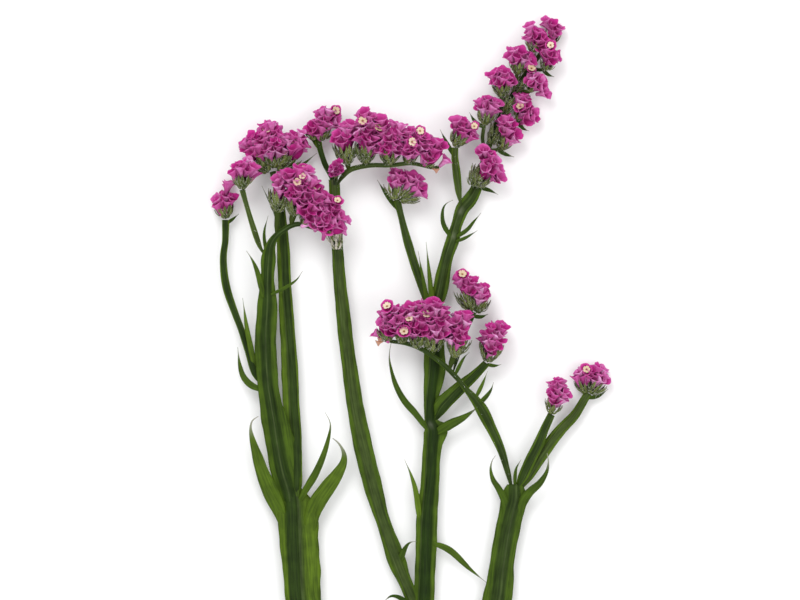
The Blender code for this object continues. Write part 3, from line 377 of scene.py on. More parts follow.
def cut_end(rings, marks):
    """Closes the start of a stem with a pale, slightly sunken cut face."""
    middle = rings[0].mean(axis=0)
    face = middle + CUT_RIM * (rings[0] - middle)
    marks = {name: np.broadcast_to(mark, rings.shape[:2]) for name, mark in marks.items()}
    marks = {name: np.vstack([mark[:1], mark]) for name, mark in marks.items()}
    marks["dry"][0] = CUT_DRY
    return np.concatenate([face[None], rings]), marks


# The leaves. Narrow green straps stand where the stems fork, thin, keeled and wavy at the edges,
# and they run out to a fine curled tip that has dried to pale grey. They grow out of the wings.
# Each one: half its greatest width, how light it is, then the midrib's points from root to tip.
LEAVES = {
    "main_stem": (
        (2.4, 0.4, (1, -228, 5), (-7, -207, 9.5), (-13, -186, 10.5), (-12, -166, 9)),
        (2.2, 0.3, (8, -228, 6), (13.5, -205, 11.4), (19, -187, 11.6), (25.5, -170, 10)),
    ),
    "left_branch": (
        (3.9, 0.5, (-58.6, -112, 7), (-60.4, -105, 7.6), (-64.3, -96.5, 8.8), (-68.6, -86, 9.8),
         (-71.4, -77, 10.6), (-73.6, -69.5, 11), (-74.5, -64, 11), (-73.6, -60.2, 10.8),
         (-70.6, -58, 10.4)),
        (1.9, 0.35, (-50.6, -101, 7.4), (-46.6, -94, 9.6), (-42.4, -87, 11), (-39, -79.6, 11.6),
         (-36.6, -72.6, 11.4), (-34.9, -65, 10.8), (-35, -60.6, 10.4), (-37.4, -56, 9.5)),
        (4.3, 0.6, (-45, -116, 7), (-44, -108, 7.6), (-41.2, -101, 8.6), (-36.4, -94, 9),
         (-31.6, -87.4, 9), (-28.4, -81.6, 8.6), (-28, -76.6, 8.2), (-30.4, -71.8, 7.6), (-33.6, -69, 7)),
        (1.7, 0.3, (-66.6, -45, 9), (-73.4, -43, 9.2), (-78, -38.4, 9), (-80, -32, 8.8),
         (-81, -23.5, 8.6)),
        (1.5, 0.6, (-72.4, -34, 9), (-74.4, -24, 11), (-76.4, -13.6, 11.6), (-78.5, 1, 10.6)),
        (1.5, 0.3, (-68, 1, 14), (-70.6, 12.6, 15.4), (-73.4, 19.6, 15.4), (-76.5, 24.5, 14.6)),
        (0.9, 0.3, (-65, 2.4, 14.4), (-57.5, 6, 15.6), (-51.6, 10, 15.4), (-48.5, 14.5, 14.6)),
        (1.1, 0.1, (-58.8, 30, 9.6), (-62, 43, 11), (-66, 51, 10.6), (-69, 57, 9.6)),
        (0.9, 0.2, (-66.4, 22, 17), (-67.6, 33, 18.6), (-65.6, 42, 18.2)),
        (1.3, 0.3, (-63.6, 61.5, 11), (-56, 64, 8), (-49, 67.4, 6), (-41.4, 73.4, 5.6)),
        (0.9, 0.1, (-87, 38, 6.6), (-84, 40, 5.4), (-80.5, 43, 4.6)),
    ),
    "middle_branch": (
        (1.6, 0.2, (-1.4, -133, 6.8), (2.6, -123.8, 9.2), (5, -121, 10), (8, -120.4, 10.8)),
        (1.3, 0.1, (-39.6, 75, 11), (-43.6, 80.6, 9.6), (-46.8, 84, 8.8)),
        (1.5, 0, (8.5, -158, 7.2), (3.8, -151.6, 7.8), (-0.4, -148.4, 8.6), (-4.6, -147.8, 8.6),
         (-8.6, -151, 7.4)),
    ),
    "centre_branch": (
        (1.7, 0.2, (14.8, -66, 8), (8, -57, 10.2), (2, -50, 11), (-2.4, -41.6, 11.2), (-5, -31.6, 11.2),
         (-5.2, -26, 10.8), (-4.4, -21.4, 10)),
        (2.4, 0.3, (17.4, -66.6, 8.4), (25, -62, 10.6), (32, -58.4, 10.8), (39.5, -53, 10.2)),
        (1.5, 0.7, (9.8, -110, 7.2), (8, -96, 9.8), (5.4, -87, 10), (2.2, -79.5, 9.4)),
        (1.7, 0.35, (16, -121, 7.4), (25, -125, 8.8), (34.6, -134, 7), (43, -141, 4.6)),
        (1.2, 0.3, (15.6, -10, 9), (11.4, 11, 12.6), (9, 24.5, 12.6)),
        (1.5, 0.6, (17.2, -13, 9), (14.8, 11, 12.4), (13, 29, 12.2)),
        (1.2, 0.1, (26.4, 30, 11), (21.8, 37.4, 13), (21.2, 44, 12.8), (22.8, 47.8, 12.4),
         (26.4, 49.8, 11.8)),
        (1.1, 0.2, (27.6, 31, 11), (33.4, 35, 12.6), (36.4, 38.6, 12.6), (40.4, 43.4, 12.2)),
        (0.9, 0.2, (27.4, 29, 11), (32.6, 31, 12), (38.6, 34.6, 11.6)),
        (1.1, 0.1, (-1.2, 45, 11.6), (-6.4, 52, 8.6), (-11.4, 60, 6.4)),
        (1.1, 0, (27.4, 71, 11.6), (23, 79, 10.2), (20, 85, 9.2)),
        (1.1, 0, (38.8, 56.4, 7.2), (44.5, 54.8, 7.8), (49, 52.6, 7.2)),
        (1.1, 0, (48.6, 75, 7.2), (53, 72.6, 6.6), (57, 71.4, 6.2)),
        (1.1, 0, (41.8, 86, 10.8), (37.4, 89, 10), (34.6, 93.6, 9.2)),
        (1.1, 0, (58, 89.8, 4.6), (61.6, 85.6, 4.2), (64.6, 84.4, 4)),
        (1, 0, (71, 115, 8.2), (74, 112.4, 7.8), (77, 111.4, 7.4)),
        (1, 0.2, (43, -32, 11.4), (47, -32.8, 10.4), (50.5, -32.2, 9.8)),
    ),
    "right_branch": (
        (1.9, 0.3, (53, -110, 7.2), (52.4, -101, 8), (49.4, -94.4, 9), (46.4, -89.6, 10),
         (45.2, -84.6, 10.2), (45.8, -80.6, 10), (47.6, -77.6, 9.8)),
        (2.3, 0.3, (59.6, -110, 7.2), (61, -101.6, 8), (64.6, -96, 9), (69.6, -91.4, 10), (73, -86, 10.4),
         (74, -81, 10.2), (73.4, -76.5, 9.6)),
        (0.9, 0.2, (57.2, -92.6, 9), (57.8, -84.6, 11), (60.4, -79.5, 11.6)),
        (1.2, 0.2, (38.6, -52.6, 13.6), (43, -48, 14.6), (45.4, -44.6, 14.4), (46.6, -41, 14.4)),
        (1, 0.4, (37.6, -49, 14.4), (41, -42, 14.8), (43.6, -35.5, 14.6)),
        (1, 0.3, (27.2, -37.6, 18.8), (31.4, -29.4, 18.8), (34.5, -26, 17.6)),
        (1.1, 0.1, (36.4, -8, 12.2), (40.4, -8.4, 11.2), (44, -7, 10.6)),
        (1, 0.2, (93.2, -49, 5.4), (99, -48, 3.4), (104, -44.6, 1.9)),
    ),
}
LEAF_STEP = 1.2
LEAF_ACROSS = np.array((1, 0.55, 0, -0.55, -1))
# The share of the length and the share of the width there, from root to tip.
LEAF_SHAPE = ((0, 0.12, 0.28, 0.45, 0.62, 0.78, 0.88, 1), (0.45, 0.85, 1, 0.9, 0.68, 0.34, 0.14, 0.04))
LEAF_TIP_WIDTH = 0.12
LEAF_TIP_THIN = 0.5
LEAF_FOLD = 0.3
LEAF_MIDRIB_HALF = 0.34
LEAF_EDGE_HALF = 0.12
LEAF_WAVE = 0.12
LEAF_MIDDLE_TONE = 0.35
LEAF_RIDGE = 0.5
DRY_FROM = 0.78


def leaf_blade(width, tone, points, draws):
    """One leaf: a closed blade, folded a little along its midrib, with a wavy edge."""
    points = smoothed(points, LEAF_STEP)
    side, up, run = directions(points)
    share = (run / run[-1])[:, None]
    half = np.maximum(width * np.interp(share, *LEAF_SHAPE), LEAF_TIP_WIDTH)
    out = np.abs(LEAF_ACROSS)
    across = half * LEAF_ACROSS * (1 + EDGE_WOBBLE * out * wave(run, draws))
    waves = np.where(LEAF_ACROSS > 0, wave(run, draws), wave(run, draws))
    lift = half * (LEAF_FOLD * out + LEAF_WAVE * out**2 * waves)
    thick = (LEAF_MIDRIB_HALF + out * (LEAF_EDGE_HALF - LEAF_MIDRIB_HALF)) * (1 - LEAF_TIP_THIN * share)
    rings, across = sections(points, side, up, across, lift + thick, lift - thick)
    edge = np.concatenate([out, out[::-1]])
    return rings, {
        "wing": LEAF_MIDDLE_TONE + (1 - LEAF_MIDDLE_TONE) * edge, "ridge": (edge == 0) * LEAF_RIDGE,
        "core_light": tone, "wing_light": tone, "hairy": 0.0, "across": across, "run": run[:, None],
        "dry": np.clip((share - DRY_FROM) / (1 - DRY_FROM), 0, 1),
    }


# The green of stems and leaves. The core is a deep green with fine pale ribs, the wings are a
# lighter yellow-green that the light comes through, and fine hairs dull the surface.
def colour(red, green, blue):
    """A shader's colour from the red, green and blue of a screen, 0 to 255."""
    shares = (value / 255 for value in (red, green, blue))
    linear = (s / 12.92 if s < 0.04045 else ((s + 0.055) / 1.055) ** 2.4 for s in shares)
    return (*linear, 1)


def add_node(tree, kind, inputs=(), **settings):
    """A node with its settings, whose inputs are values or other nodes' sockets."""
    made = tree.nodes.new(kind)
    for name, value in settings.items():
        setattr(made, name, value)
    for name, value in dict(inputs).items():
        if isinstance(value, bpy.types.NodeSocket):
            tree.links.new(value, made.inputs[name])
        else:
            made.inputs[name].default_value = value
    return made


def new_tree(name, kind, inputs, outputs):
    """A node tree with named sockets of the given kinds, and the sockets that bring its inputs."""
    tree = bpy.data.node_groups.new(name, kind)
    for way, sockets in (("INPUT", inputs), ("OUTPUT", outputs)):
        for socket, values in sockets.items():
            tree.interface.new_socket(socket, in_out=way, socket_type="NodeSocket" + values)
    return tree, add_node(tree, "NodeGroupInput").outputs


def mark_of(tree, name):
    return add_node(tree, "ShaderNodeAttribute", attribute_name=name).outputs["Fac"]


def mixed(tree, share, first, second, blend="MIX"):
    """One colour laid over another by a share."""
    inputs = {0: share, 6: first, 7: second}
    return add_node(tree, "ShaderNodeMix", inputs, data_type="RGBA", blend_type=blend).outputs[2]


def times(tree, first, second):
    return add_node(tree, "ShaderNodeMath", {0: first, 1: second}, operation="MULTIPLY").outputs[0]


def layered(tree, base, *layers):
    """A colour with others laid over it in turn: how strong each is, where it shows and its colour."""
    for strength, where, shade in layers:
        base = mixed(tree, times(tree, where, strength), base, colour(*shade))
    return base


def eased(tree, value, low, high):
    """0 below the low end, 1 above the high end and a smooth step between."""
    inputs = {"Value": value, "From Min": low, "From Max": high}
    made = add_node(tree, "ShaderNodeMapRange", inputs, interpolation_type="SMOOTHSTEP")
    return made.outputs["Result"]


def noise(tree, scale, detail):
    """Cloudy noise through a material, at a scale in clouds to the metre."""
    place = add_node(tree, "ShaderNodeTexCoord").outputs["Object"]
    inputs = {"Vector": place, "Scale": scale, "Detail": detail}
    return add_node(tree, "ShaderNodeTexNoise", inputs).outputs["Fac"]


def finished(name, finish, bump, values):
    """A material: a function lays out its colour and height, and the values go on the shader."""
    material = bpy.data.materials.new(name)
    material.use_nodes = True
    tree = material.node_tree
    shader = tree.nodes["Principled BSDF"].inputs
    base, height = finish(tree)
    tree.links.new(base, shader["Base Color"])
    if bump:
        made = add_node(tree, "ShaderNodeBump", {"Height": height, "Strength": bump[0], "Distance": bump[1]})
        tree.links.new(made.outputs["Normal"], shader["Normal"])
    for socket, value in values.items():
        shader[socket].default_value = value
    return material


# Along the plant the pattern of the streaks runs at this share of its rate across it.
STREAK_SHORT = 0.045


def fibre_group():
    """Fine streaks that follow the length of a stem or a leaf, with soft blotches over them."""
    tree, given = new_tree(
        "plant_fibre", "ShaderNodeTree", {"Route": "Vector", "Streaks": "Float", "Blotches": "Float"},
        {"Shade": "Float", "Height": "Float"},
    )
    inputs = {0: given["Route"], 1: (1, STREAK_SHORT, 1)}
    drawn = add_node(tree, "ShaderNodeVectorMath", inputs, operation="MULTIPLY").outputs[0]
    inputs = {"Vector": drawn, "Scale": given["Streaks"], "Detail": 3.0, "Roughness": 0.6}
    streaks = add_node(tree, "ShaderNodeTexNoise", inputs).outputs["Fac"]
    parts = {0: times(tree, streaks, 0.6), 1: times(tree, noise(tree, given["Blotches"], 4.0), 0.4)}
    shade = add_node(tree, "ShaderNodeMath", parts, operation="ADD").outputs[0]
    add_node(tree, "NodeGroupOutput", {"Shade": eased(tree, shade, 0.32, 0.68), "Height": streaks})
    return tree


FIBRE = fibre_group()


def green_finish(tree):
    route = add_node(tree, "ShaderNodeUVMap", uv_map="route").outputs["UV"]
    inputs = {"Route": route, "Streaks": 140, "Blotches": 120}
    fibre = add_node(tree, "ShaderNodeGroup", inputs, node_tree=FIBRE).outputs
    wing = eased(tree, mark_of(tree, "wing"), 0.0, 0.4)
    core = mixed(tree, mark_of(tree, "core_light"), colour(34, 56, 6), colour(88, 104, 52))
    edge = mixed(tree, mark_of(tree, "wing_light"), colour(48, 72, 8), colour(100, 126, 30))
    rib = 0.2, eased(tree, mark_of(tree, "ridge"), 0.35, 1.0), (124, 138, 92)
    base = layered(tree, mixed(tree, wing, core, edge), rib)
    shaded = mixed(tree, fibre["Shade"], colour(112, 122, 100), colour(255, 255, 250))
    base = mixed(tree, 0.75, base, shaded, "MULTIPLY")
    return layered(tree, base, (1.0, mark_of(tree, "dry"), (156, 154, 142))), fibre["Height"]


GREEN = finished(
    "statice_leaf_green", green_finish, (0.5, 0.0004), {"Roughness": 0.6, "Specular IOR Level": 0.12}
)
ROUTE_SCALE = 0.01


def lay_route(data):
    """A UV map that has the way across a stem or leaf in U and the way along it in V."""
    corners = np.zeros(len(data.loops), np.int32)
    data.loops.foreach_get("vertex_index", corners)
    ways = []
    for mark in ("across", "run"):
        values = np.zeros(len(data.vertices), np.float32)
        data.attributes[mark].data.foreach_get("value", values)
        ways.append(values[corners] * ROUTE_SCALE)
        data.attributes.remove(data.attributes[mark])
    layer = data.uv_layers.new(name="route")
    layer.data.foreach_set("uv", np.stack(ways, axis=1).ravel())


draws = random.Random(3)
greens = {}
for branch, stems in STEMS.items():
    skins = []
    for looks in stems:
        rings, marks = winged_stem(*looks, draws)
        if looks[-1] is MAIN_STEM:
            rings, marks = cut_end(rings, marks)
        skins.append(skin(rings, marks))
    for width, tone, *points in LEAVES[branch]:
        skins.append(skin(*leaf_blade(width, tone, points, draws)))
    data = joined(branch + "_green", skins, PLACE_IN_FRAME)
    off_table(data)
    greens[branch] = add_piece(branch + "_green", data, GREEN)
    lay_route(data)
    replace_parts(greens[branch], branch)

# The flower heads. Each head is one or more tufts of florets, which stand close together round a
# small core on a cup of bracts. A tuft: its root, the top of its middle floret, its width and the
# share of its length that is cup.
HEADS = {
    "head_01": (((-87, 40.5, 6.4), (-89.5, 60, 6.4), 13.5, 0.3),),
    "head_02": (((-78.6, 55, 21.6), (-78, 69.8, 24), 16.5, 0.45),),
    "head_03": (
        ((-65.6, 63.6, 12.6), (-77.5, 78.5, 12.6), 16, 0.5),
        ((-63.4, 65.6, 12.8), (-62.4, 89, 13.6), 16.5, 0.4),
        ((-61.2, 63.6, 12.6), (-46.5, 80, 12.6), 16, 0.5),
    ),
    "head_05": (
        ((-61.6, 32.2, 20.4), (-59.4, 64, 24.5), 14, 0.66),
        ((-54.4, 37, 22), (-47.4, 65.5, 27.5), 17, 0.5),
        ((-48, 37.4, 22.4), (-37.5, 56.5, 28), 16, 0.35),
        ((-42, 35.8, 22.6), (-29.5, 46.5, 27.5), 14, 0.35),
        ((-37, 34.4, 22.6), (-25, 35.5, 26), 12, 0.3),
    ),
    "head_06": (
        ((-42.4, 79.6, 11.6), (-46, 91.5, 11.6), 10.5, 0.45),
        ((-39.8, 79.4, 11.6), (-33.5, 97, 11), 14, 0.4),
    ),
    "head_07": (((-32.2, 61, 16.4), (-31.8, 70, 22), 7.6, 0.3),),
    "head_08": (
        ((-25.6, 64.6, 16.4), (-29, 89.5, 24.5), 16.5, 0.5),
        ((-17, 66.6, 19), (-17.5, 93.5, 25), 17, 0.4),
        ((-5.6, 67, 20.4), (-4, 89.5, 26), 16, 0.35),
        ((3.6, 68, 20.8), (9, 86.5, 26), 15, 0.3),
        ((12, 66.8, 20.8), (24, 79, 25), 14, 0.25),
    ),
    "head_09": (
        ((-2.6, 49.8, 12.2), (-3.4, 65.5, 12.6), 12.5, 0.45),
        ((-0.2, 49.4, 12.2), (15, 58.6, 12.2), 12.5, 0.45),
    ),
    "head_10": (((27.5, 76, 12.4), (34, 91.5, 13.4), 14.5, 0.42),),
    "head_11": (((38.9, 56.6, 7.4), (48.5, 75, 22.5), 14.5, 0.4),),
    "head_12": (((42, 87, 11.2), (45.2, 101, 13), 13, 0.42),),
    "head_13": (((50, 75, 8), (58.4, 93, 12), 13.8, 0.36),),
    "head_14": (((50.6, 101, 10.4), (51.4, 117, 13.4), 14, 0.42),),
    "head_15": (((58.6, 89.6, 5), (66.4, 102.6, 7.4), 13.5, 0.32),),
    "head_16": (((58.4, 112.4, 9.8), (60.6, 127.5, 13), 13.5, 0.42),),
    "head_17": (((64.6, 103.8, 9.4), (70, 114.4, 12.6), 12.5, 0.32),),
    "head_18": (((66.5, 123.4, 9.8), (68.2, 138.8, 15), 12.2, 0.38),),
    "head_19": (((71.4, 114.8, 8.6), (79, 127.6, 14.4), 12, 0.32),),
    "head_20": (((75.4, 127.4, 5), (77.8, 142.4, 5.2), 11.3, 0.38),),
    "head_21": (
        ((35.6, -6.4, 12.2), (30.5, 12.5, 13), 12.5, 0.55),
        ((38, -6.4, 12.2), (45.5, 9, 12.4), 12.5, 0.42),
    ),
    "head_22": (((43.6, -31, 11.4), (48.6, -9.5, 13.4), 16.5, 0.38),),
    "head_23": (
        ((-5.4, -20.6, 21.4), (-10.5, -5.5, 24.5), 13, 0.35),
        ((1.4, -21.4, 21.4), (0.5, -1.5, 27), 15.5, 0.35),
        ((8.6, -24, 21.2), (9, -0.5, 28), 16, 0.4),
        ((16, -28.4, 20.6), (19, -3.5, 27.5), 16.5, 0.5),
        ((24.4, -34.8, 19.8), (33.5, -7, 26), 15, 0.56),
    ),
    "head_24": (((75.5, -57, 11), (80, -38, 12.4), 12.5, 0.36),),
    "head_25": (
        ((92.8, -46.8, 5.6), (88.4, -32.6, 5.6), 12, 0.45),
        ((95.2, -47, 5.6), (103.4, -34.8, 5.4), 12, 0.45),
    ),
}
# Cups of bracts without florets: on the side of the spike's stem that faces the camera, and one
# that has dried pale at a bare node of the middle stem.
BARE_CUPS = (
    ((34.5, 53, 10.5), (39.5, 66, 11.5), 6, 1),
    ((43.6, 73, 6.5), (48.8, 87, 7.5), 3.5, 1),
    ((51, 91, 6), (55.5, 101.5, 7), 3, 1),
    ((57.5, 103, 6), (61.5, 111, 7), 3, 1),
)
DRIED_CUPS = (((-31.5, 25, 10.4), (-32.2, 34, 12), 5.5, 1),)

# A floret is a funnel of papery pink calyx, pleated from its throat to a crinkled five-lobed rim.
# It stays on the plant when it dries. Its own lengths are in millimetres, with its root at 0.
FUNNEL_AROUND = 22
FUNNEL_LENGTH = 6.2
FUNNEL_LIMB = 3.2
FUNNEL_TUBE = 0.8
FUNNEL_PAPER = 0.1
FUNNEL_RINGS = (0.0, 0.5, 0.8, 1.0)
FUNNEL_KINDS = 8
FUNNEL_FLARE = 2.1
FUNNEL_RISE = 0.85
SQUASHES = (0.72, 1)
LOBES = 5
LOBE_DEPTH = 0.16
TILT = 0.7


def uneven(count, softness, draws):
    """Uneven values round a ring, between about -1 and 1, that change more slowly when softer."""
    values = np.array([draws.uniform(-1, 1) for _ in range(count)])
    for _ in range(softness):
        values = 0.5 * values + 0.25 * (np.roll(values, 1) + np.roll(values, -1))
    return values / np.abs(values).max()


def funnel_mesh(draws):
    """One funnel, its lobes, pleats and crinkles drawn afresh."""
    turns = np.arange(FUNNEL_AROUND) * math.tau / FUNNEL_AROUND
    lean, squash = draws.uniform(0, math.tau), draws.uniform(*SQUASHES)
    pleats = np.cos(LOBES * turns + 0.8 * uneven(FUNNEL_AROUND, 3, draws))
    lobes = 1 + LOBE_DEPTH * uneven(FUNNEL_AROUND, 4, draws)
    crinkle = uneven(FUNNEL_AROUND, 1, draws)
    curl = 0.5 * uneven(FUNNEL_AROUND, 4, draws)
    shares = np.array(FUNNEL_RINGS + FUNNEL_RINGS[:0:-1])[:, None]
    inside = np.arange(len(shares))[:, None] >= len(FUNNEL_RINGS)
    flare = shares**FUNNEL_FLARE
    radius = FUNNEL_TUBE + (FUNNEL_LIMB * lobes - FUNNEL_TUBE) * flare
    radius = radius * (1 + flare * (0.05 * pleats + 0.1 * crinkle)) - inside * FUNNEL_PAPER
    height = FUNNEL_LENGTH * shares**FUNNEL_RISE - TILT * flare * np.cos(turns - lean)
    height = height + flare**2 * (0.46 * crinkle + 0.2 * pleats + 0.9 * curl) + inside * FUNNEL_PAPER
    rings = np.stack([np.cos(turns) * radius, np.sin(turns) * radius * squash, height], axis=2)
    # This mark of the pleat valleys is used only to darken them in the calyx colour, as painted shade.
    fold = pleats * 0.6 + crinkle * 0.5
    return joined("funnel", [skin(rings, {"rim": shares, "fold": fold, "inside": inside})])


def ball_mesh(name, **marks):
    """A round body one millimetre in radius, to be stretched, with the same marks all over."""
    mesh = bmesh.new()
    bmesh.ops.create_icosphere(mesh, subdivisions=2, radius=MM)
    data = bpy.data.meshes.new(name)
    mesh.to_mesh(data)
    mesh.free()
    for mark, value in marks.items():
        set_mark(data, mark, [value] * len(data.vertices))
    return data


def shelf(name, meshes):
    """A collection of shapes to be copied, in the order of their numbers."""
    made = bpy.data.collections.new(name)
    bpy.context.scene.collection.children.link(made)
    for number, data in enumerate(meshes):
        made.objects.link(bpy.data.objects.new(f"{name}_{number:02d}", data))
    return made


def clear_shelf(collection):
    for item in list(collection.objects):
        bpy.data.objects.remove(item)
    bpy.data.collections.remove(collection)


def realised(tree, points, shape, turn, scale, finish, **settings):
    """Ends a tree: the shape on each point, made real and given its finish."""
    inputs = {"Points": points, "Instance": shape, "Rotation": turn, "Scale": scale, **settings}
    placed = add_node(tree, "GeometryNodeInstanceOnPoints", inputs).outputs[0]
    real = add_node(tree, "GeometryNodeRealizeInstances", {"Geometry": placed}).outputs[0]
    dressed = add_node(tree, "GeometryNodeSetMaterial", {"Geometry": real, "Material": finish}).outputs[0]
    add_node(tree, "NodeGroupOutput", {"Geometry": dressed})
    return tree


def turned(tree, way, axis, turn=(0, 0, 0), pivot="AUTO"):
    """A turn that goes on from another and lays an axis of a shape along a way."""
    inputs = {"Rotation": turn, "Vector": way}
    settings = {"axis": axis, "pivot_axis": pivot}
    return add_node(tree, "FunctionNodeAlignRotationToVector", inputs, **settings).outputs[0]


def named(tree, name, kind):
    return add_node(tree, "GeometryNodeInputNamedAttribute", {"Name": name}, data_type=kind).outputs[0]


def copies_tree():
    """Sets a shape on each point: its Z along the point's way, its X turned to the point's front."""
    tree, given = new_tree(
        "copies_on_points", "GeometryNodeTree",
        {"Geometry": "Geometry", "Shapes": "Collection", "Finish": "Material", "Size": "Float"},
        {"Geometry": "Geometry"},
    )
    inputs = {"Collection": given["Shapes"], "Separate Children": True, "Reset Children": True}
    shapes = add_node(tree, "GeometryNodeCollectionInfo", inputs).outputs[0]
    stand = turned(tree, named(tree, "way", "FLOAT_VECTOR"), "Z")
    face = turned(tree, named(tree, "front", "FLOAT_VECTOR"), "X", stand, "Z")
    inputs = {0: named(tree, "stretch", "FLOAT_VECTOR"), "Scale": given["Size"]}
    scale = add_node(tree, "ShaderNodeVectorMath", inputs, operation="SCALE").outputs[0]
    picked = {"Pick Instance": True, "Instance Index": named(tree, "kind", "INT")}
    return realised(tree, given["Geometry"], shapes, face, scale, given["Finish"], **picked)


COPIES = copies_tree()


def made_by(tree, data, inputs):
    """The plain mesh that a tree makes of a mesh, with the tree's inputs set by their names."""
    item = set_out("source", data)
    modifier = item.modifiers.new("Make", "NODES")
    modifier.node_group = tree
    for socket in tree.interface.items_tree:
        if socket.in_out == "INPUT" and socket.name in inputs:
            modifier[socket.identifier] = inputs[socket.name]
    item.update_tag()
    bpy.context.view_layer.update()
    graph = bpy.context.evaluated_depsgraph_get()
    made = bpy.data.meshes.new_from_object(
        item.evaluated_get(graph), preserve_all_data_layers=True, depsgraph=graph
    )
    bpy.data.objects.remove(item)
    off_table(made)
    return made


def copied(shapes, places, finish):
    """The shapes at places that have a spot in millimetres, way, front, stretch, kind and tint."""
    data = bpy.data.meshes.new("places")
    data.from_pydata([((Vector(p["at"]) + PLACE_IN_FRAME) * MM)[:] for p in places], [], [])
    for mark in ("way", "front", "stretch"):
        values = np.array([tuple(p[mark]) for p in places], np.float32).ravel()
        data.attributes.new(mark, "FLOAT_VECTOR", "POINT").data.foreach_set("vector", values)
    data.attributes.new("kind", "INT", "POINT").data.foreach_set("value", [p["kind"] for p in places])
    set_mark(data, "tint", [p["tint"] for p in places])
    return made_by(COPIES, data, {"Shapes": shapes, "Finish": finish, "Size": 1.0})


def calyx_finish(tree):
    rim, fold, inside, tint = (mark_of(tree, name) for name in ("rim", "fold", "inside", "tint"))
    grain, patch = noise(tree, 1100.0, 4.0), noise(tree, 320.0, 2.0)
    outer = mixed(tree, tint, colour(184, 80, 146), colour(220, 160, 204))
    inner = mixed(tree, tint, colour(180, 40, 128), colour(204, 112, 172))
    # Painted shade: the inside of the funnel is darkened in the colour towards its deep throat.
    throat = times(tree, eased(tree, rim, 0.95, 0.5), inside)
    # Painted light: the rim is made paler in patches, as if light came through the thin paper.
    painted_rim_light = times(tree, eased(tree, rim, 0.9, 1.0), eased(tree, grain, 0.3, 0.7))
    # Painted shade: the pleat valleys are darkened in the colour.
    return layered(
        tree, mixed(tree, inside, outer, inner),
        (0.5, eased(tree, patch, 0.42, 0.62), (166, 46, 120)),
        (0.35, eased(tree, fold, -0.05, -0.75), (136, 24, 94)),
        (0.7, throat, (134, 16, 90)),
        (0.3, painted_rim_light, (220, 150, 200)),
        (1.0, eased(tree, tint, 1.2, 1.8), (186, 142, 112)),
    ), grain


CALYX = finished("statice_calyx_pink", calyx_finish, (0.4, 0.0003), {
    "Roughness": 0.8, "Specular IOR Level": 0.1, "Subsurface Weight": 0.25, "Subsurface Scale": 0.001,
    "Subsurface Radius": (1.0, 0.4, 0.8),
})

# A few funnels are open towards the camera and hold a flower. Their places in the photograph are
# in pixels, across and down in turn.
PIXEL = 0.5
PHOTO_MIDDLE = (400, 300)
OPEN_FLOWERS = {
    "head_03": (267, 130, 293, 140),
    "head_05": (304, 170, 303, 177, 298, 183, 317, 188, 338, 201),
    "head_06": (336, 111),
    "head_08": (364, 115, 363, 122, 379, 129, 420, 132, 412, 143),
    "head_10": (474, 127),
    "head_15": (520, 107),
    "head_17": (531, 69),
    "head_19": (550, 46),
    "head_21": (462, 274),
    "head_23": (387, 306, 424, 305, 426, 314, 409, 318, 404, 331),
    "head_25": (586, 369),
}
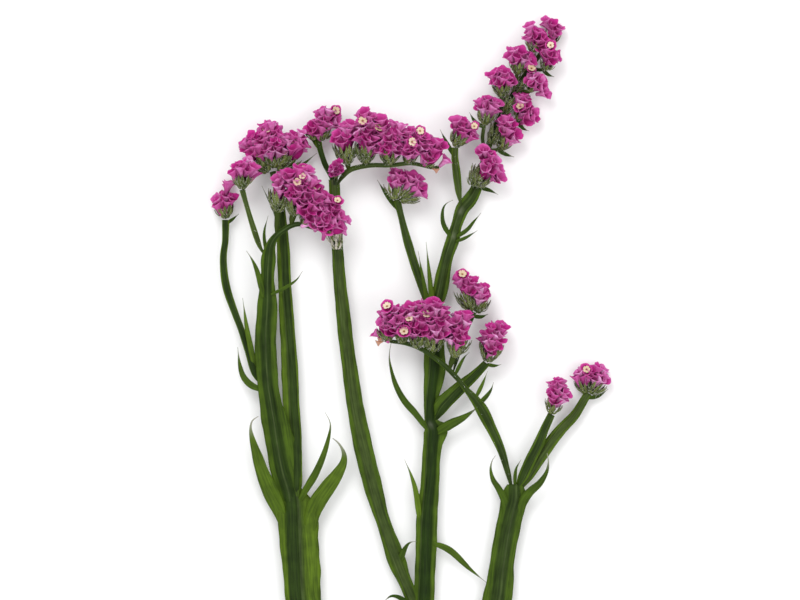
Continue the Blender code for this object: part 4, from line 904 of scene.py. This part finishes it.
# The outline of each head's pink as the camera sees it, in pixels across and down in turn.
HEAD_OUTLINES = {
    "head_01": (
        221, 178, 231, 176, 236, 182, 234, 188, 239, 196, 236, 203, 226, 208, 214, 208, 211, 198,
        216, 192, 223, 190,
    ),
    "head_02": (
        229, 170, 233, 163, 240, 159, 250, 157, 261, 159, 262, 168, 262, 175, 257, 177, 250, 174,
        240, 173, 231, 178,
    ),
    "head_03": (
        238, 141, 241, 134, 250, 131, 258, 129, 263, 121, 272, 119, 281, 123, 284, 130, 293, 129,
        304, 128, 308, 134, 314, 143, 312, 149, 302, 152, 290, 155, 275, 158, 262, 158, 248, 155,
        239, 149,
    ),
    "head_05": (
        270, 177, 277, 169, 289, 166, 300, 164, 310, 165, 318, 172, 320, 182, 328, 187, 333, 195,
        340, 199, 346, 210, 350, 222, 350, 231, 343, 234, 337, 227, 329, 238, 318, 230, 304, 221,
        298, 210, 295, 201, 285, 198, 275, 189,
    ),
    "head_06": (
        303, 123, 313, 119, 314, 109, 322, 105, 333, 105, 341, 112, 344, 123, 337, 128, 328, 130,
        321, 137, 314, 138, 306, 131,
    ),
    "head_07": (329, 163, 340, 158, 345, 164, 344, 174, 337, 179, 330, 177),
    "head_08": (
        330, 142, 333, 130, 344, 119, 355, 118, 357, 110, 363, 107, 371, 108, 379, 114, 392, 118,
        407, 122, 415, 128, 428, 129, 438, 136, 450, 142, 451, 149, 441, 156, 432, 164, 420, 158,
        400, 157, 380, 154, 371, 153, 362, 144, 353, 141, 345, 146, 336, 144,
    ),
    "head_09": (
        387, 172, 393, 166, 403, 166, 414, 169, 424, 175, 430, 184, 434, 195, 428, 200, 419, 195,
        406, 187, 393, 186, 388, 180,
    ),
    "head_10": (448, 122, 452, 114, 462, 114, 472, 119, 478, 127, 481, 138, 474, 142, 466, 137, 451, 131),
    "head_11": (
        473, 149, 484, 144, 492, 148, 499, 153, 500, 161, 507, 166, 506, 178, 499, 186, 490, 179,
        483, 171, 477, 161,
    ),
    "head_12": (473, 98, 480, 94, 492, 94, 501, 98, 504, 108, 500, 115, 490, 112, 476, 111),
    "head_13": (
        495, 118, 500, 112, 508, 112, 514, 118, 520, 128, 525, 138, 520, 145, 511, 146, 504, 139,
        498, 129,
    ),
    "head_14": (486, 73, 492, 66, 503, 65, 512, 69, 517, 75, 517, 84, 508, 88, 491, 87, 488, 80),
    "head_15": (
        512, 94, 520, 87, 528, 91, 535, 99, 537, 108, 542, 116, 536, 126, 525, 124, 517, 113, 513, 104,
    ),
    "head_16": (504, 49, 512, 44, 520, 45, 530, 49, 535, 54, 538, 62, 531, 69, 525, 62, 507, 66, 505, 58),
    "head_17": (526, 74, 527, 65, 536, 69, 546, 75, 547, 81, 551, 86, 550, 97, 542, 99, 533, 91, 524, 83),
    "head_18": (520, 24, 530, 20, 538, 23, 547, 29, 550, 38, 546, 47, 537, 48, 530, 41, 522, 42),
    "head_19": (535, 45, 545, 41, 554, 42, 557, 50, 564, 53, 565, 60, 554, 69, 547, 65, 540, 57),
    "head_20": (538, 25, 543, 15, 551, 16, 558, 21, 567, 25, 563, 33, 557, 39, 549, 37, 546, 29),
    "head_21": (
        451, 275, 457, 270, 468, 272, 478, 277, 487, 281, 493, 288, 489, 297, 484, 306, 474, 300,
        466, 293, 454, 289,
    ),
    "head_22": (
        476, 328, 485, 326, 492, 320, 498, 316, 510, 322, 509, 331, 505, 340, 502, 347, 497, 355,
        486, 357, 481, 346, 478, 338,
    ),
    "head_23": (
        374, 316, 383, 307, 392, 303, 402, 303, 412, 299, 426, 297, 442, 297, 450, 306, 447, 316,
        453, 310, 460, 305, 471, 309, 474, 316, 471, 326, 471, 338, 463, 343, 457, 348, 449, 343,
        444, 336, 436, 344, 428, 336, 410, 337, 398, 334, 385, 339, 381, 328, 376, 324,
    ),
    "head_24": (545, 385, 550, 377, 558, 374, 567, 379, 571, 391, 568, 401, 560, 407, 550, 406, 546, 397),
    "head_25": (
        568, 373, 575, 366, 586, 362, 597, 362, 606, 363, 611, 370, 613, 380, 608, 385, 598, 383,
        586, 383, 573, 382,
    ),
}
# A floret's rim middle stays this far inside the outline, because the rim itself reaches it.
OUTLINE_INSET = 2.0
FLORET_GAP = 2.7
BACK_GAP = 3.8
# A dome of florets: how far its middle is above the cup, and how far its rims are inside its size.
CENTRE_ABOVE_CUP = 0.16
RIM_INSET = 1.9
TOP_INSET = 0.4
# A tuft narrower than this has smaller florets, and the sizes of florets vary between these.
FULL_TUFT = 12
FLORET_SIZES = (0.84, 1.12)
# An open floret stands a little higher than those round it, one beside its dome nearer the front.
OPEN_RISE = 1.1
BESIDE_RISE = 0.8
# Every third try is for the back.
# A floret's way is these shares of the way from its root, the tuft's axis and the dome's slope.
FLORET_WAY = (0.5, 0.5, 0.4)
TRIES = 900
BACK_TRIES = 3
CORE_SIZE = 0.6
# The share of florets that are pale, the tint of the palest of the others and that of open ones.
PALE_SHARE = 0.1
MOST_TINT = 0.55
OPEN_TINT = 0.1
HEIGHT_STEP = 0.2
ABOVE_DOME = 3


def on_plane(pixels):
    """Places in the photograph's plane, in millimetres, from its pixels across and down in turn."""
    return PIXEL * (np.reshape(pixels, (-1, 2)) - PHOTO_MIDDLE) * (1, -1)


def well_inside(spot, corners):
    """How far a spot is inside an outline, in the outline's own unit, and negative outside it."""
    along = np.roll(corners, -1, axis=0) - corners
    off = spot - corners
    share = np.clip((off * along).sum(axis=1) / (along**2).sum(axis=1), 0, 1)
    near = np.linalg.norm(off - share[:, None] * along, axis=1).min()
    crossed = (off[:, 1] < 0) != (off[:, 1] < along[:, 1])
    with np.errstate(divide="ignore", invalid="ignore"):
        left = off[:, 0] < along[:, 0] * off[:, 1] / along[:, 1]
    return near if (crossed & left).sum() % 2 else -near


def dome(tuft):
    """A tuft's florets: their centre, the axes round it and how wide and high their rims reach."""
    root, tip, width, cup_share = Vector(tuft[0]), Vector(tuft[1]), *tuft[2:]
    axis = tip - root
    centre = cup_share * axis.length + CENTRE_ABOVE_CUP * width
    turn = np.array(axis.to_track_quat("Z", "Y").to_matrix())
    middle = np.array(root + axis.normalized() * centre)
    wide = width / 2 - RIM_INSET
    return middle, turn, np.array((wide, wide, axis.length - centre - TOP_INSET))


def top_of(domes, x, y):
    """The place above a point of the photograph that is on the highest dome or beside the nearest."""
    best, beside = None, None
    for number, (middle, turn, reach) in enumerate(domes):
        heights = middle[2] + np.arange(-reach.max(), reach.max() + ABOVE_DOME, HEIGHT_STEP)
        spots = np.array([(x, y, z) for z in heights])
        far = np.linalg.norm((spots - middle) @ turn / reach, axis=1)
        if far.min() < 1.0 and (best is None or heights[far < 1.0].max() > best[0][2]):
            best = spots[far < 1.0][-1], number
        if beside is None or far.min() < beside[2]:
            beside = spots[far.argmin()], number, far.min()
    spot, number = best or beside[:2]
    middle, turn, reach = domes[number]
    normal = turn @ (turn.T @ (spot - middle) / reach**2)
    normal = normal / np.linalg.norm(normal)
    if best is None:
        spot, normal = spot + (0, 0, BESIDE_RISE * reach[0]), normal + (0, 0, BESIDE_RISE)
    return spot, normal, number


def one_floret(rim, way, size, tint, draws):
    return {
        "at": rim - way * FUNNEL_LENGTH * size, "way": way, "rim": rim,
        "front": [draws.uniform(-1, 1) for _ in range(3)], "stretch": (size, size, size),
        "kind": draws.randrange(FUNNEL_KINDS), "tint": tint,
    }


def floret_places(tufts, corners, opened, draws):
    """First the open florets, then the front ones, which fill the outline, and then the back ones."""
    domes = [dome(tuft) for tuft in tufts]
    small = min(1, max(tuft[2] for tuft in tufts) / FULL_TUFT)
    low, high = corners.min(axis=0), corners.max(axis=0)
    places, rims = [], []

    def set_floret(rim, normal, number, tint):
        root = np.array(tufts[number][0])
        from_root, axis, slope = FLORET_WAY
        way = from_root * (rim - root) / np.linalg.norm(rim - root) + axis * domes[number][1][:, 2]
        way = way + slope * normal + [draws.uniform(-0.2, 0.2) for _ in range(3)]
        if tint is None:
            way = 0.5 * way + np.array((0, 0, 1.0))
            rim = rim + np.array((0, 0, OPEN_RISE))
        size = draws.uniform(*FLORET_SIZES) * small
        places.append(one_floret(rim, way / np.linalg.norm(way), size, tint or OPEN_TINT, draws))
        rims.append(rim)

    for spot in opened:
        set_floret(*top_of(domes, *spot), None)
    for trial in range(TRIES * len(tufts)):
        behind = trial % BACK_TRIES == BACK_TRIES - 1
        spot = np.array([draws.uniform(low[0], high[0]), draws.uniform(low[1], high[1])])
        if well_inside(spot, corners) < OUTLINE_INSET * small * draws.uniform(0.9, 1.15):
            continue
        rim, normal, number = top_of(domes, *spot)
        if behind:
            rim = np.array((*spot, 2 * domes[number][0][2] - rim[2]))
            normal = normal * (1, 1, -1)
        else:
            rim = rim + draws.uniform(-0.5, 0.5) * normal
        gap = (BACK_GAP if behind else FLORET_GAP) * small
        if any(np.linalg.norm(rim - other) < gap for other in rims):
            continue
        tint = 1.0 if draws.random() < PALE_SHARE else MOST_TINT * draws.random() ** 1.5
        set_floret(rim, normal, number, tint)
    return places


def core_places(tufts):
    """The core of each tuft, which closes the gaps between its florets."""
    return [
        {"at": middle, "way": turn[:, 2], "front": turn[:, 0], "stretch": CORE_SIZE * reach,
         "kind": FUNNEL_KINDS, "tint": 0.0}
        for middle, turn, reach in map(dome, tufts)
    ]


# Single florets beside a head: its rim's place, the way it opens, its size and how pale it is,
# where 2 is one that has withered brown.
STRAY_FLORETS = {
    "head_01": (((-91.4, 50.4, 8.6), (-0.7, 0.5, 0.5), 0.85, 1.0),),
    "head_05": (((-25.8, 39.6, 24.6), (0.8, 0.1, 0.5), 0.85, 1.0),),
    "head_08": (
        ((23.6, 70.4, 21.8), (0.7, 0.7, 0.14), 0.95, 0.6), ((16.4, 71.6, 24), (0.5, 0.6, 0.5), 0.8, 1.0),
        ((18.8, 64.2, 21.4), (0.9, -0.4, 0.2), 0.5, 2.0),
    ),
    "head_23": (
        ((-13.2, -16.2, 22.2), (-0.87, 0.48, 0.1), 0.95, 0.2),
        ((-11.4, -21.6, 21.8), (-0.9, -0.35, 0.2), 0.55, 2.0),
        ((-10.2, -19.4, 22.4), (-0.95, 0, 0.3), 0.5, 2.0),
    ),
}

draws = random.Random(8)
core = ball_mesh("core", rim=0.0, fold=0.0, inside=1.0)
funnels = shelf("funnel", [*(funnel_mesh(draws) for _ in range(FUNNEL_KINDS)), core])
florets = {}
for head, tufts in HEADS.items():
    opened = on_plane(OPEN_FLOWERS.get(head, ()))
    places = floret_places(tufts, on_plane(HEAD_OUTLINES[head]), opened, draws)
    florets[head] = places[:len(opened)]
    for rim, way, size, tint in STRAY_FLORETS.get(head, ()):
        places.append(one_floret(np.array(rim), np.array(way), size, tint, draws))
    made = copied(funnels, places + core_places(tufts), CALYX)
    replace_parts(add_piece(head + "_calyces", made, CALYX), head + "_florets")
clear_shelf(funnels)

# The bracts. Under each tuft small keeled scales overlap in a hairy olive-green cup that holds the
# florets. They are part of the stem below them, and their thin margins have dried pale.
BRACT_LENGTH = 7.0
BRACT_HALF_WIDTH = 0.85
BRACT_LEAST_HALF = 0.08
BRACT_ROWS = 6
BRACT_ACROSS = np.array((-1, 0, 1))
BRACT_HALF = 0.09
BRACT_HOLLOW = 0.45
BRACT_KEEL = 0.1
BRACT_KINDS = 5
# A bract bends from its foot's lean outwards back towards the cup's axis, in radians.
BRACT_BEND = (0.4, -0.4)
# A cup has a whorl of bracts for every few millimetres of its height, round a small green body.
WHORL_STEP = 1.4
WHORL_COUNT = 8
BRACT_LEAN = 32
BRACT_REACH = 0.5
BRACT_OVER = 1.4
BRACT_LONGEST = 5.2
# The top whorl starts this share of a bract below the rim, or up to WHORL_OVER higher. The bracts
# of the lowest whorls are smaller.
BRACT_BELOW = 0.75
WHORL_OVER = 0.4
LOWEST_GROWN = 0.75
GROWN_OVER = 2
# The greatest height of scales on a cup, the shape of the cup and that of the body inside it.
CUP_TALLEST = 10.0
CUP_FOOT = 0.7
CUP_MOUTH = 0.33
CUP_BODY = np.array((0.11, 0.11, 0.52))
# A tuft of this width has bracts of their full width, and no tuft's are narrower than this share.
# A bract that ends this far inside the pink goes.
BRACT_FULL = 14.0
BRACT_NARROWEST = 0.7
BRACT_HIDDEN = 1.3
# A bract whose back is turned down by more than this is behind its cup.
BEHIND = -0.2


def bract_mesh(draws):
    """One scale: a hollowed, pointed blade with a raised keel, its back to X."""
    share = np.linspace(0, 1, BRACT_ROWS)[:, None]
    half = BRACT_HALF_WIDTH * np.sin(math.pi * (0.3 + 0.7 * share)) ** 0.7 * (1 - 0.5 * share**3)
    half = np.maximum(half, BRACT_LEAST_HALF)
    start, end = BRACT_BEND
    heading = start + (end - start) * share + draws.uniform(-0.1, 0.1)
    side = half * BRACT_ACROSS * (1 + 0.07 * draws.uniform(-1, 1))
    step = BRACT_LENGTH / (BRACT_ROWS - 1)
    keel = (BRACT_HOLLOW * half + BRACT_KEEL) * (1 - BRACT_ACROSS**2)
    back = step * np.cumsum(np.sin(heading), axis=0) + keel
    height = step * np.cumsum(np.cos(heading), axis=0) + 0 * side
    rows = (back + BRACT_HALF, back - BRACT_HALF), (side, side), (height, height)
    rings = np.stack([np.hstack([front, behind[:, ::-1]]) for front, behind in rows], axis=2)
    edge = np.abs(np.concatenate([BRACT_ACROSS, BRACT_ACROSS[::-1]]))
    return joined("bract", [skin(rings, {"edge": edge, "up": share, "hairy": 1.0})])


def bract_places(tufts, draws, outline=None, dried=0):
    """The whorls of bracts of each tuft's cup and its body. None is where the pink hangs over it."""
    places, narrowest = [], BRACT_FULL * BRACT_NARROWEST
    for root, tip, width, cup_share in tufts:
        axis = Vector(tip) - Vector(root)
        cup = cup_share * axis.length
        low = max(0, cup - CUP_TALLEST)
        turn = axis.to_track_quat("Z", "Y").to_matrix()
        length = min(BRACT_REACH * cup + BRACT_OVER, BRACT_LONGEST)
        for height in np.arange(low, cup + WHORL_OVER - BRACT_BELOW * length, WHORL_STEP):
            start = draws.uniform(0, math.tau)
            grown = LOWEST_GROWN + (1 - LOWEST_GROWN) * min(1, (height - low) / GROWN_OVER)
            share = (height - low) / (cup - low)
            reach = CUP_FOOT + (CUP_MOUTH * width - CUP_FOOT) * share**0.7
            count = round(WHORL_COUNT + reach)
            for i in range(count):
                flat = start + math.tau * i / count + draws.uniform(-0.25, 0.25)
                out = Vector((math.cos(flat), math.sin(flat), 0))
                tilt = math.radians(BRACT_LEAN * (1 - 0.6 * share) + draws.uniform(-9, 9))
                long = grown * draws.uniform(0.8, 1.15) * length / BRACT_LENGTH
                wide = draws.uniform(0.8, 1.1) * max(width, narrowest) / BRACT_FULL
                scale = {
                    "at": Vector(root) + turn @ (out * reach + Vector((0, 0, height))),
                    "way": turn @ (out * math.sin(tilt) + Vector((0, 0, math.cos(tilt)))),
                    "front": turn @ out, "stretch": (long, wide, long),
                    "kind": draws.randrange(BRACT_KINDS), "tint": draws.random() + dried,
                }
                end = np.array(scale["at"] + scale["way"] * long * BRACT_LENGTH)[:2]
                faces_camera = outline is not None and scale["front"].z > BEHIND
                if not (faces_camera and well_inside(end, outline) > BRACT_HIDDEN):
                    places.append(scale)
        places.append({
            "at": Vector(root) + turn @ Vector((0, 0, 0.5 * cup)), "way": axis, "front": turn.col[0],
            "stretch": CUP_BODY * (width, width, cup), "kind": BRACT_KINDS, "tint": 0.0,
        })
    return places


def bract_finish(tree):
    edge, rise, tint = (mark_of(tree, name) for name in ("edge", "up", "tint"))
    grain = noise(tree, 700.0, 4.0)
    return layered(
        tree, mixed(tree, tint, colour(48, 62, 16), colour(104, 114, 56)),
        (1.0, eased(tree, rise, 0.7, 1.0), (80, 64, 44)),
        (0.35, eased(tree, edge, 0.5, 1.0), (170, 176, 148)),
        (1.0, eased(tree, tint, 1.2, 1.6), (204, 198, 184)),
        (0.45, eased(tree, grain, 0.45, 0.7), (44, 56, 18)),
    ), grain


BRACT = finished(
    "statice_bract_green", bract_finish, (0.5, 0.0003), {"Roughness": 0.7, "Specular IOR Level": 0.12}
)
BRANCH_HEADS = {
    "left_branch": (1, 2, 3, 5), "middle_branch": (6, 7, 8),
    "centre_branch": (*range(9, 21), 22), "right_branch": (21, 23, 24, 25),
}
draws = random.Random(21)
cup = ball_mesh("cup", edge=0.0, up=0.0, hairy=0.0)
scales = shelf("bract", [*(bract_mesh(draws) for _ in range(BRACT_KINDS)), cup])
bracts = {}
for branch, heads in BRANCH_HEADS.items():
    places = []
    for head in (f"head_{number:02d}" for number in heads):
        places += bract_places(HEADS[head], draws, on_plane(HEAD_OUTLINES[head]))
    if branch == "centre_branch":
        places += bract_places(BARE_CUPS, draws)
    if branch == "middle_branch":
        places += bract_places(DRIED_CUPS, draws, dried=1.0)
    made = copied(scales, places, BRACT)
    bracts[branch] = add_piece(branch + "_bracts", made, BRACT)
clear_shelf(scales)

# The open flowers. The open funnels hold a small cream corolla of five notched petals. It grows in
# the funnel's throat and falls long before the calyx fades.
PETALS = 5
PETAL_ROWS = 5
PETAL_ACROSS = np.array((-1, -0.5, 0, 0.5, 1))
PETAL_LENGTH = 1.75
PETAL_HALF_WIDTH = 0.95
PETAL_HALF = 0.06
PETAL_NOTCH = 0.15
THROAT_RADIUS = 0.25
COROLLA_DEPTH = 0.3
COROLLA_KINDS = 3


def corolla_mesh(draws):
    """Five notched petals round a throat, in one closed skin for each petal."""
    skins = []
    for petal in range(PETALS):
        turn = math.tau * petal / PETALS + draws.uniform(-0.08, 0.08)
        share = np.linspace(0, 1, PETAL_ROWS)[:, None]
        side = PETAL_HALF_WIDTH * np.sin(math.pi * (0.12 + 0.7 * share)) ** 0.8 * PETAL_ACROSS
        notch = PETAL_NOTCH * share**4 * (PETAL_ACROSS == 0)
        out = THROAT_RADIUS + PETAL_LENGTH * share - notch + 0 * side
        lift = 0.5 - 0.6 * (1 - share) ** 2 + 0.25 * np.abs(PETAL_ACROSS) * share
        lift = lift + draws.uniform(-0.1, 0.2) * share
        x = out * math.cos(turn) - side * math.sin(turn)
        y = out * math.sin(turn) + side * math.cos(turn)
        rings = [np.stack([x, y, lift + sign * PETAL_HALF], axis=2)[:, ::sign] for sign in (1, -1)]
        skins.append(skin(np.concatenate(rings, axis=1), {"petal": share}))
    return joined("corolla", skins)


def corolla_finish(tree):
    petal, tint = mark_of(tree, "petal"), mark_of(tree, "tint")
    return layered(
        tree, mixed(tree, tint, colour(196, 180, 146), colour(218, 206, 180)),
        (1.0, eased(tree, petal, 0.3, 0.05), (170, 142, 84)),
        (0.2, noise(tree, 1500.0, 3.0), (206, 134, 146)),
    ), None


COROLLA = finished(
    "statice_corolla_cream", corolla_finish, None, {"Roughness": 0.7, "Specular IOR Level": 0.15}
)
draws = random.Random(5)
corollas = shelf("corolla", [corolla_mesh(draws) for _ in range(COROLLA_KINDS)])
places = [
    {**place, "at": place["rim"] - COROLLA_DEPTH * place["way"],
     "way": place["way"] + [draws.uniform(-0.25, 0.25) for _ in range(3)],
     "stretch": [draws.uniform(0.85, 1.1)] * 3, "kind": draws.randrange(COROLLA_KINDS),
     "tint": draws.random()}
    for opened in florets.values() for place in opened
]
add_piece("cream_corollas", copied(corollas, places, COROLLA), COROLLA)
clear_shelf(corollas)

# The hairs. Fine white hairs a millimetre or so long stand on the bracts and the thin stalks. They
# grow out of the skin, and against the dark green they read as a pale fuzz.
HAIR_THICK = 0.06
HAIR_LENGTH = 1.7
HAIR_SWAY = 1.1
HAIR_SIZES = (0.5, 1.2)
BRACT_HAIRS = 0.6
STEM_HAIRS = 0.2


def hairs_tree():
    """Scatters straight three-sided hairs over a surface, more where it is marked as hairy."""
    tree, given = new_tree(
        "hairs_on_surface", "GeometryNodeTree",
        {"Geometry": "Geometry", "Density": "Float", "Length": "Float", "Thickness": "Float",
         "Seed": "Int", "Finish": "Material"},
        {"Geometry": "Geometry"},
    )
    density = times(tree, named(tree, "hairy", "FLOAT"), given["Density"])
    inputs = {"Mesh": given["Geometry"], "Density": density, "Seed": given["Seed"]}
    spread = add_node(tree, "GeometryNodeDistributePointsOnFaces", inputs).outputs
    inputs = {0: 3 * (-HAIR_SWAY,), 1: 3 * (HAIR_SWAY,), "Seed": given["Seed"]}
    sway = add_node(tree, "FunctionNodeRandomValue", inputs, data_type="FLOAT_VECTOR").outputs[0]
    lean = add_node(tree, "ShaderNodeVectorMath", {0: spread["Normal"], 1: sway}, operation="ADD").outputs[0]
    inputs = {2: HAIR_SIZES[0], 3: HAIR_SIZES[1], "Seed": given["Seed"]}
    grown = add_node(tree, "FunctionNodeRandomValue", inputs, data_type="FLOAT").outputs[1]
    inputs = {"Vertices": 3, "Radius Top": 0.0, "Radius Bottom": given["Thickness"], "Depth": given["Length"]}
    hair = add_node(tree, "GeometryNodeMeshCone", inputs, fill_type="NGON").outputs[0]
    return realised(tree, spread["Points"], hair, turned(tree, lean, "Z"), grown, given["Finish"])


def hair_finish(tree):
    return mixed(tree, noise(tree, 300.0, 2.0), colour(206, 208, 196), colour(240, 240, 234)), None


HAIRS = hairs_tree()
HAIR = finished("statice_hair_white", hair_finish, None, {"Roughness": 0.5})
for seed, (name, pieces, density) in enumerate(
    (("stem", greens, STEM_HAIRS), ("bract", bracts, BRACT_HAIRS)), start=1
):
    for branch, piece in pieces.items():
        made = made_by(HAIRS, piece.data.copy(), {
            "Density": density / MM**2, "Length": HAIR_LENGTH * MM, "Thickness": HAIR_THICK * MM,
            "Seed": seed, "Finish": HAIR,
        })
        # The main stem is bald, so there is no piece of hairs for it.
        if len(made.vertices) > 0:
            add_piece(f"{branch}_{name}_hairs", made, HAIR)

# The table and the light: a plain pale floor, a broad soft key from the top left and a weak fill.
FLOOR_SIZE = 6.0
FLOOR_GREY = 0.9
WORLD_LIGHT = 0.93
CAMERA_HEIGHT = 4.0
SENSOR = 36.0

mesh = bmesh.new()
bmesh.ops.create_grid(mesh, x_segments=1, y_segments=1, size=FLOOR_SIZE / 2)
data = bpy.data.meshes.new("floor")
mesh.to_mesh(data)
mesh.free()
floor = set_out("floor", data)
paint = bpy.data.materials.new("pale_floor")
paint.use_nodes = True
shader = paint.node_tree.nodes["Principled BSDF"].inputs
shader["Base Color"].default_value = (FLOOR_GREY, FLOOR_GREY, FLOOR_GREY, 1)
shader["Roughness"].default_value = 0.9
data.materials.append(paint)

world = bpy.data.worlds.new("studio")
world.use_nodes = True
world.node_tree.nodes["Background"].inputs["Color"].default_value = (1, 1, 1, 1)
world.node_tree.nodes["Background"].inputs["Strength"].default_value = WORLD_LIGHT
bpy.context.scene.world = world
bpy.context.scene.view_settings.view_transform = "Standard"

middle = Vector((PLACE_IN_FRAME.x * MM, PLACE_IN_FRAME.y * MM, 0))
for name, place, size, power in (
    ("key", (-0.4, 0.8, 1.4), 0.9, 12.0),
    ("fill", (0.7, -0.4, 1.4), 1.2, 6.0),
):
    lamp = bpy.data.lights.new(name, "AREA")
    lamp.shape = "DISK"
    lamp.size = size
    lamp.energy = power
    light = set_out(name, lamp)
    light.location = middle + Vector(place)
    light.rotation_euler = (-Vector(place)).to_track_quat("-Z", "Y").to_euler()

lens = bpy.data.cameras.new("camera")
lens.sensor_width = SENSOR
lens.lens = SENSOR * CAMERA_HEIGHT / (2 * PHOTO_MIDDLE[0] * PIXEL * MM)
lens.clip_end = 50
camera = set_out("camera", lens)
camera.location = middle + Vector((0, 0, CAMERA_HEIGHT))
bpy.context.scene.camera = camera
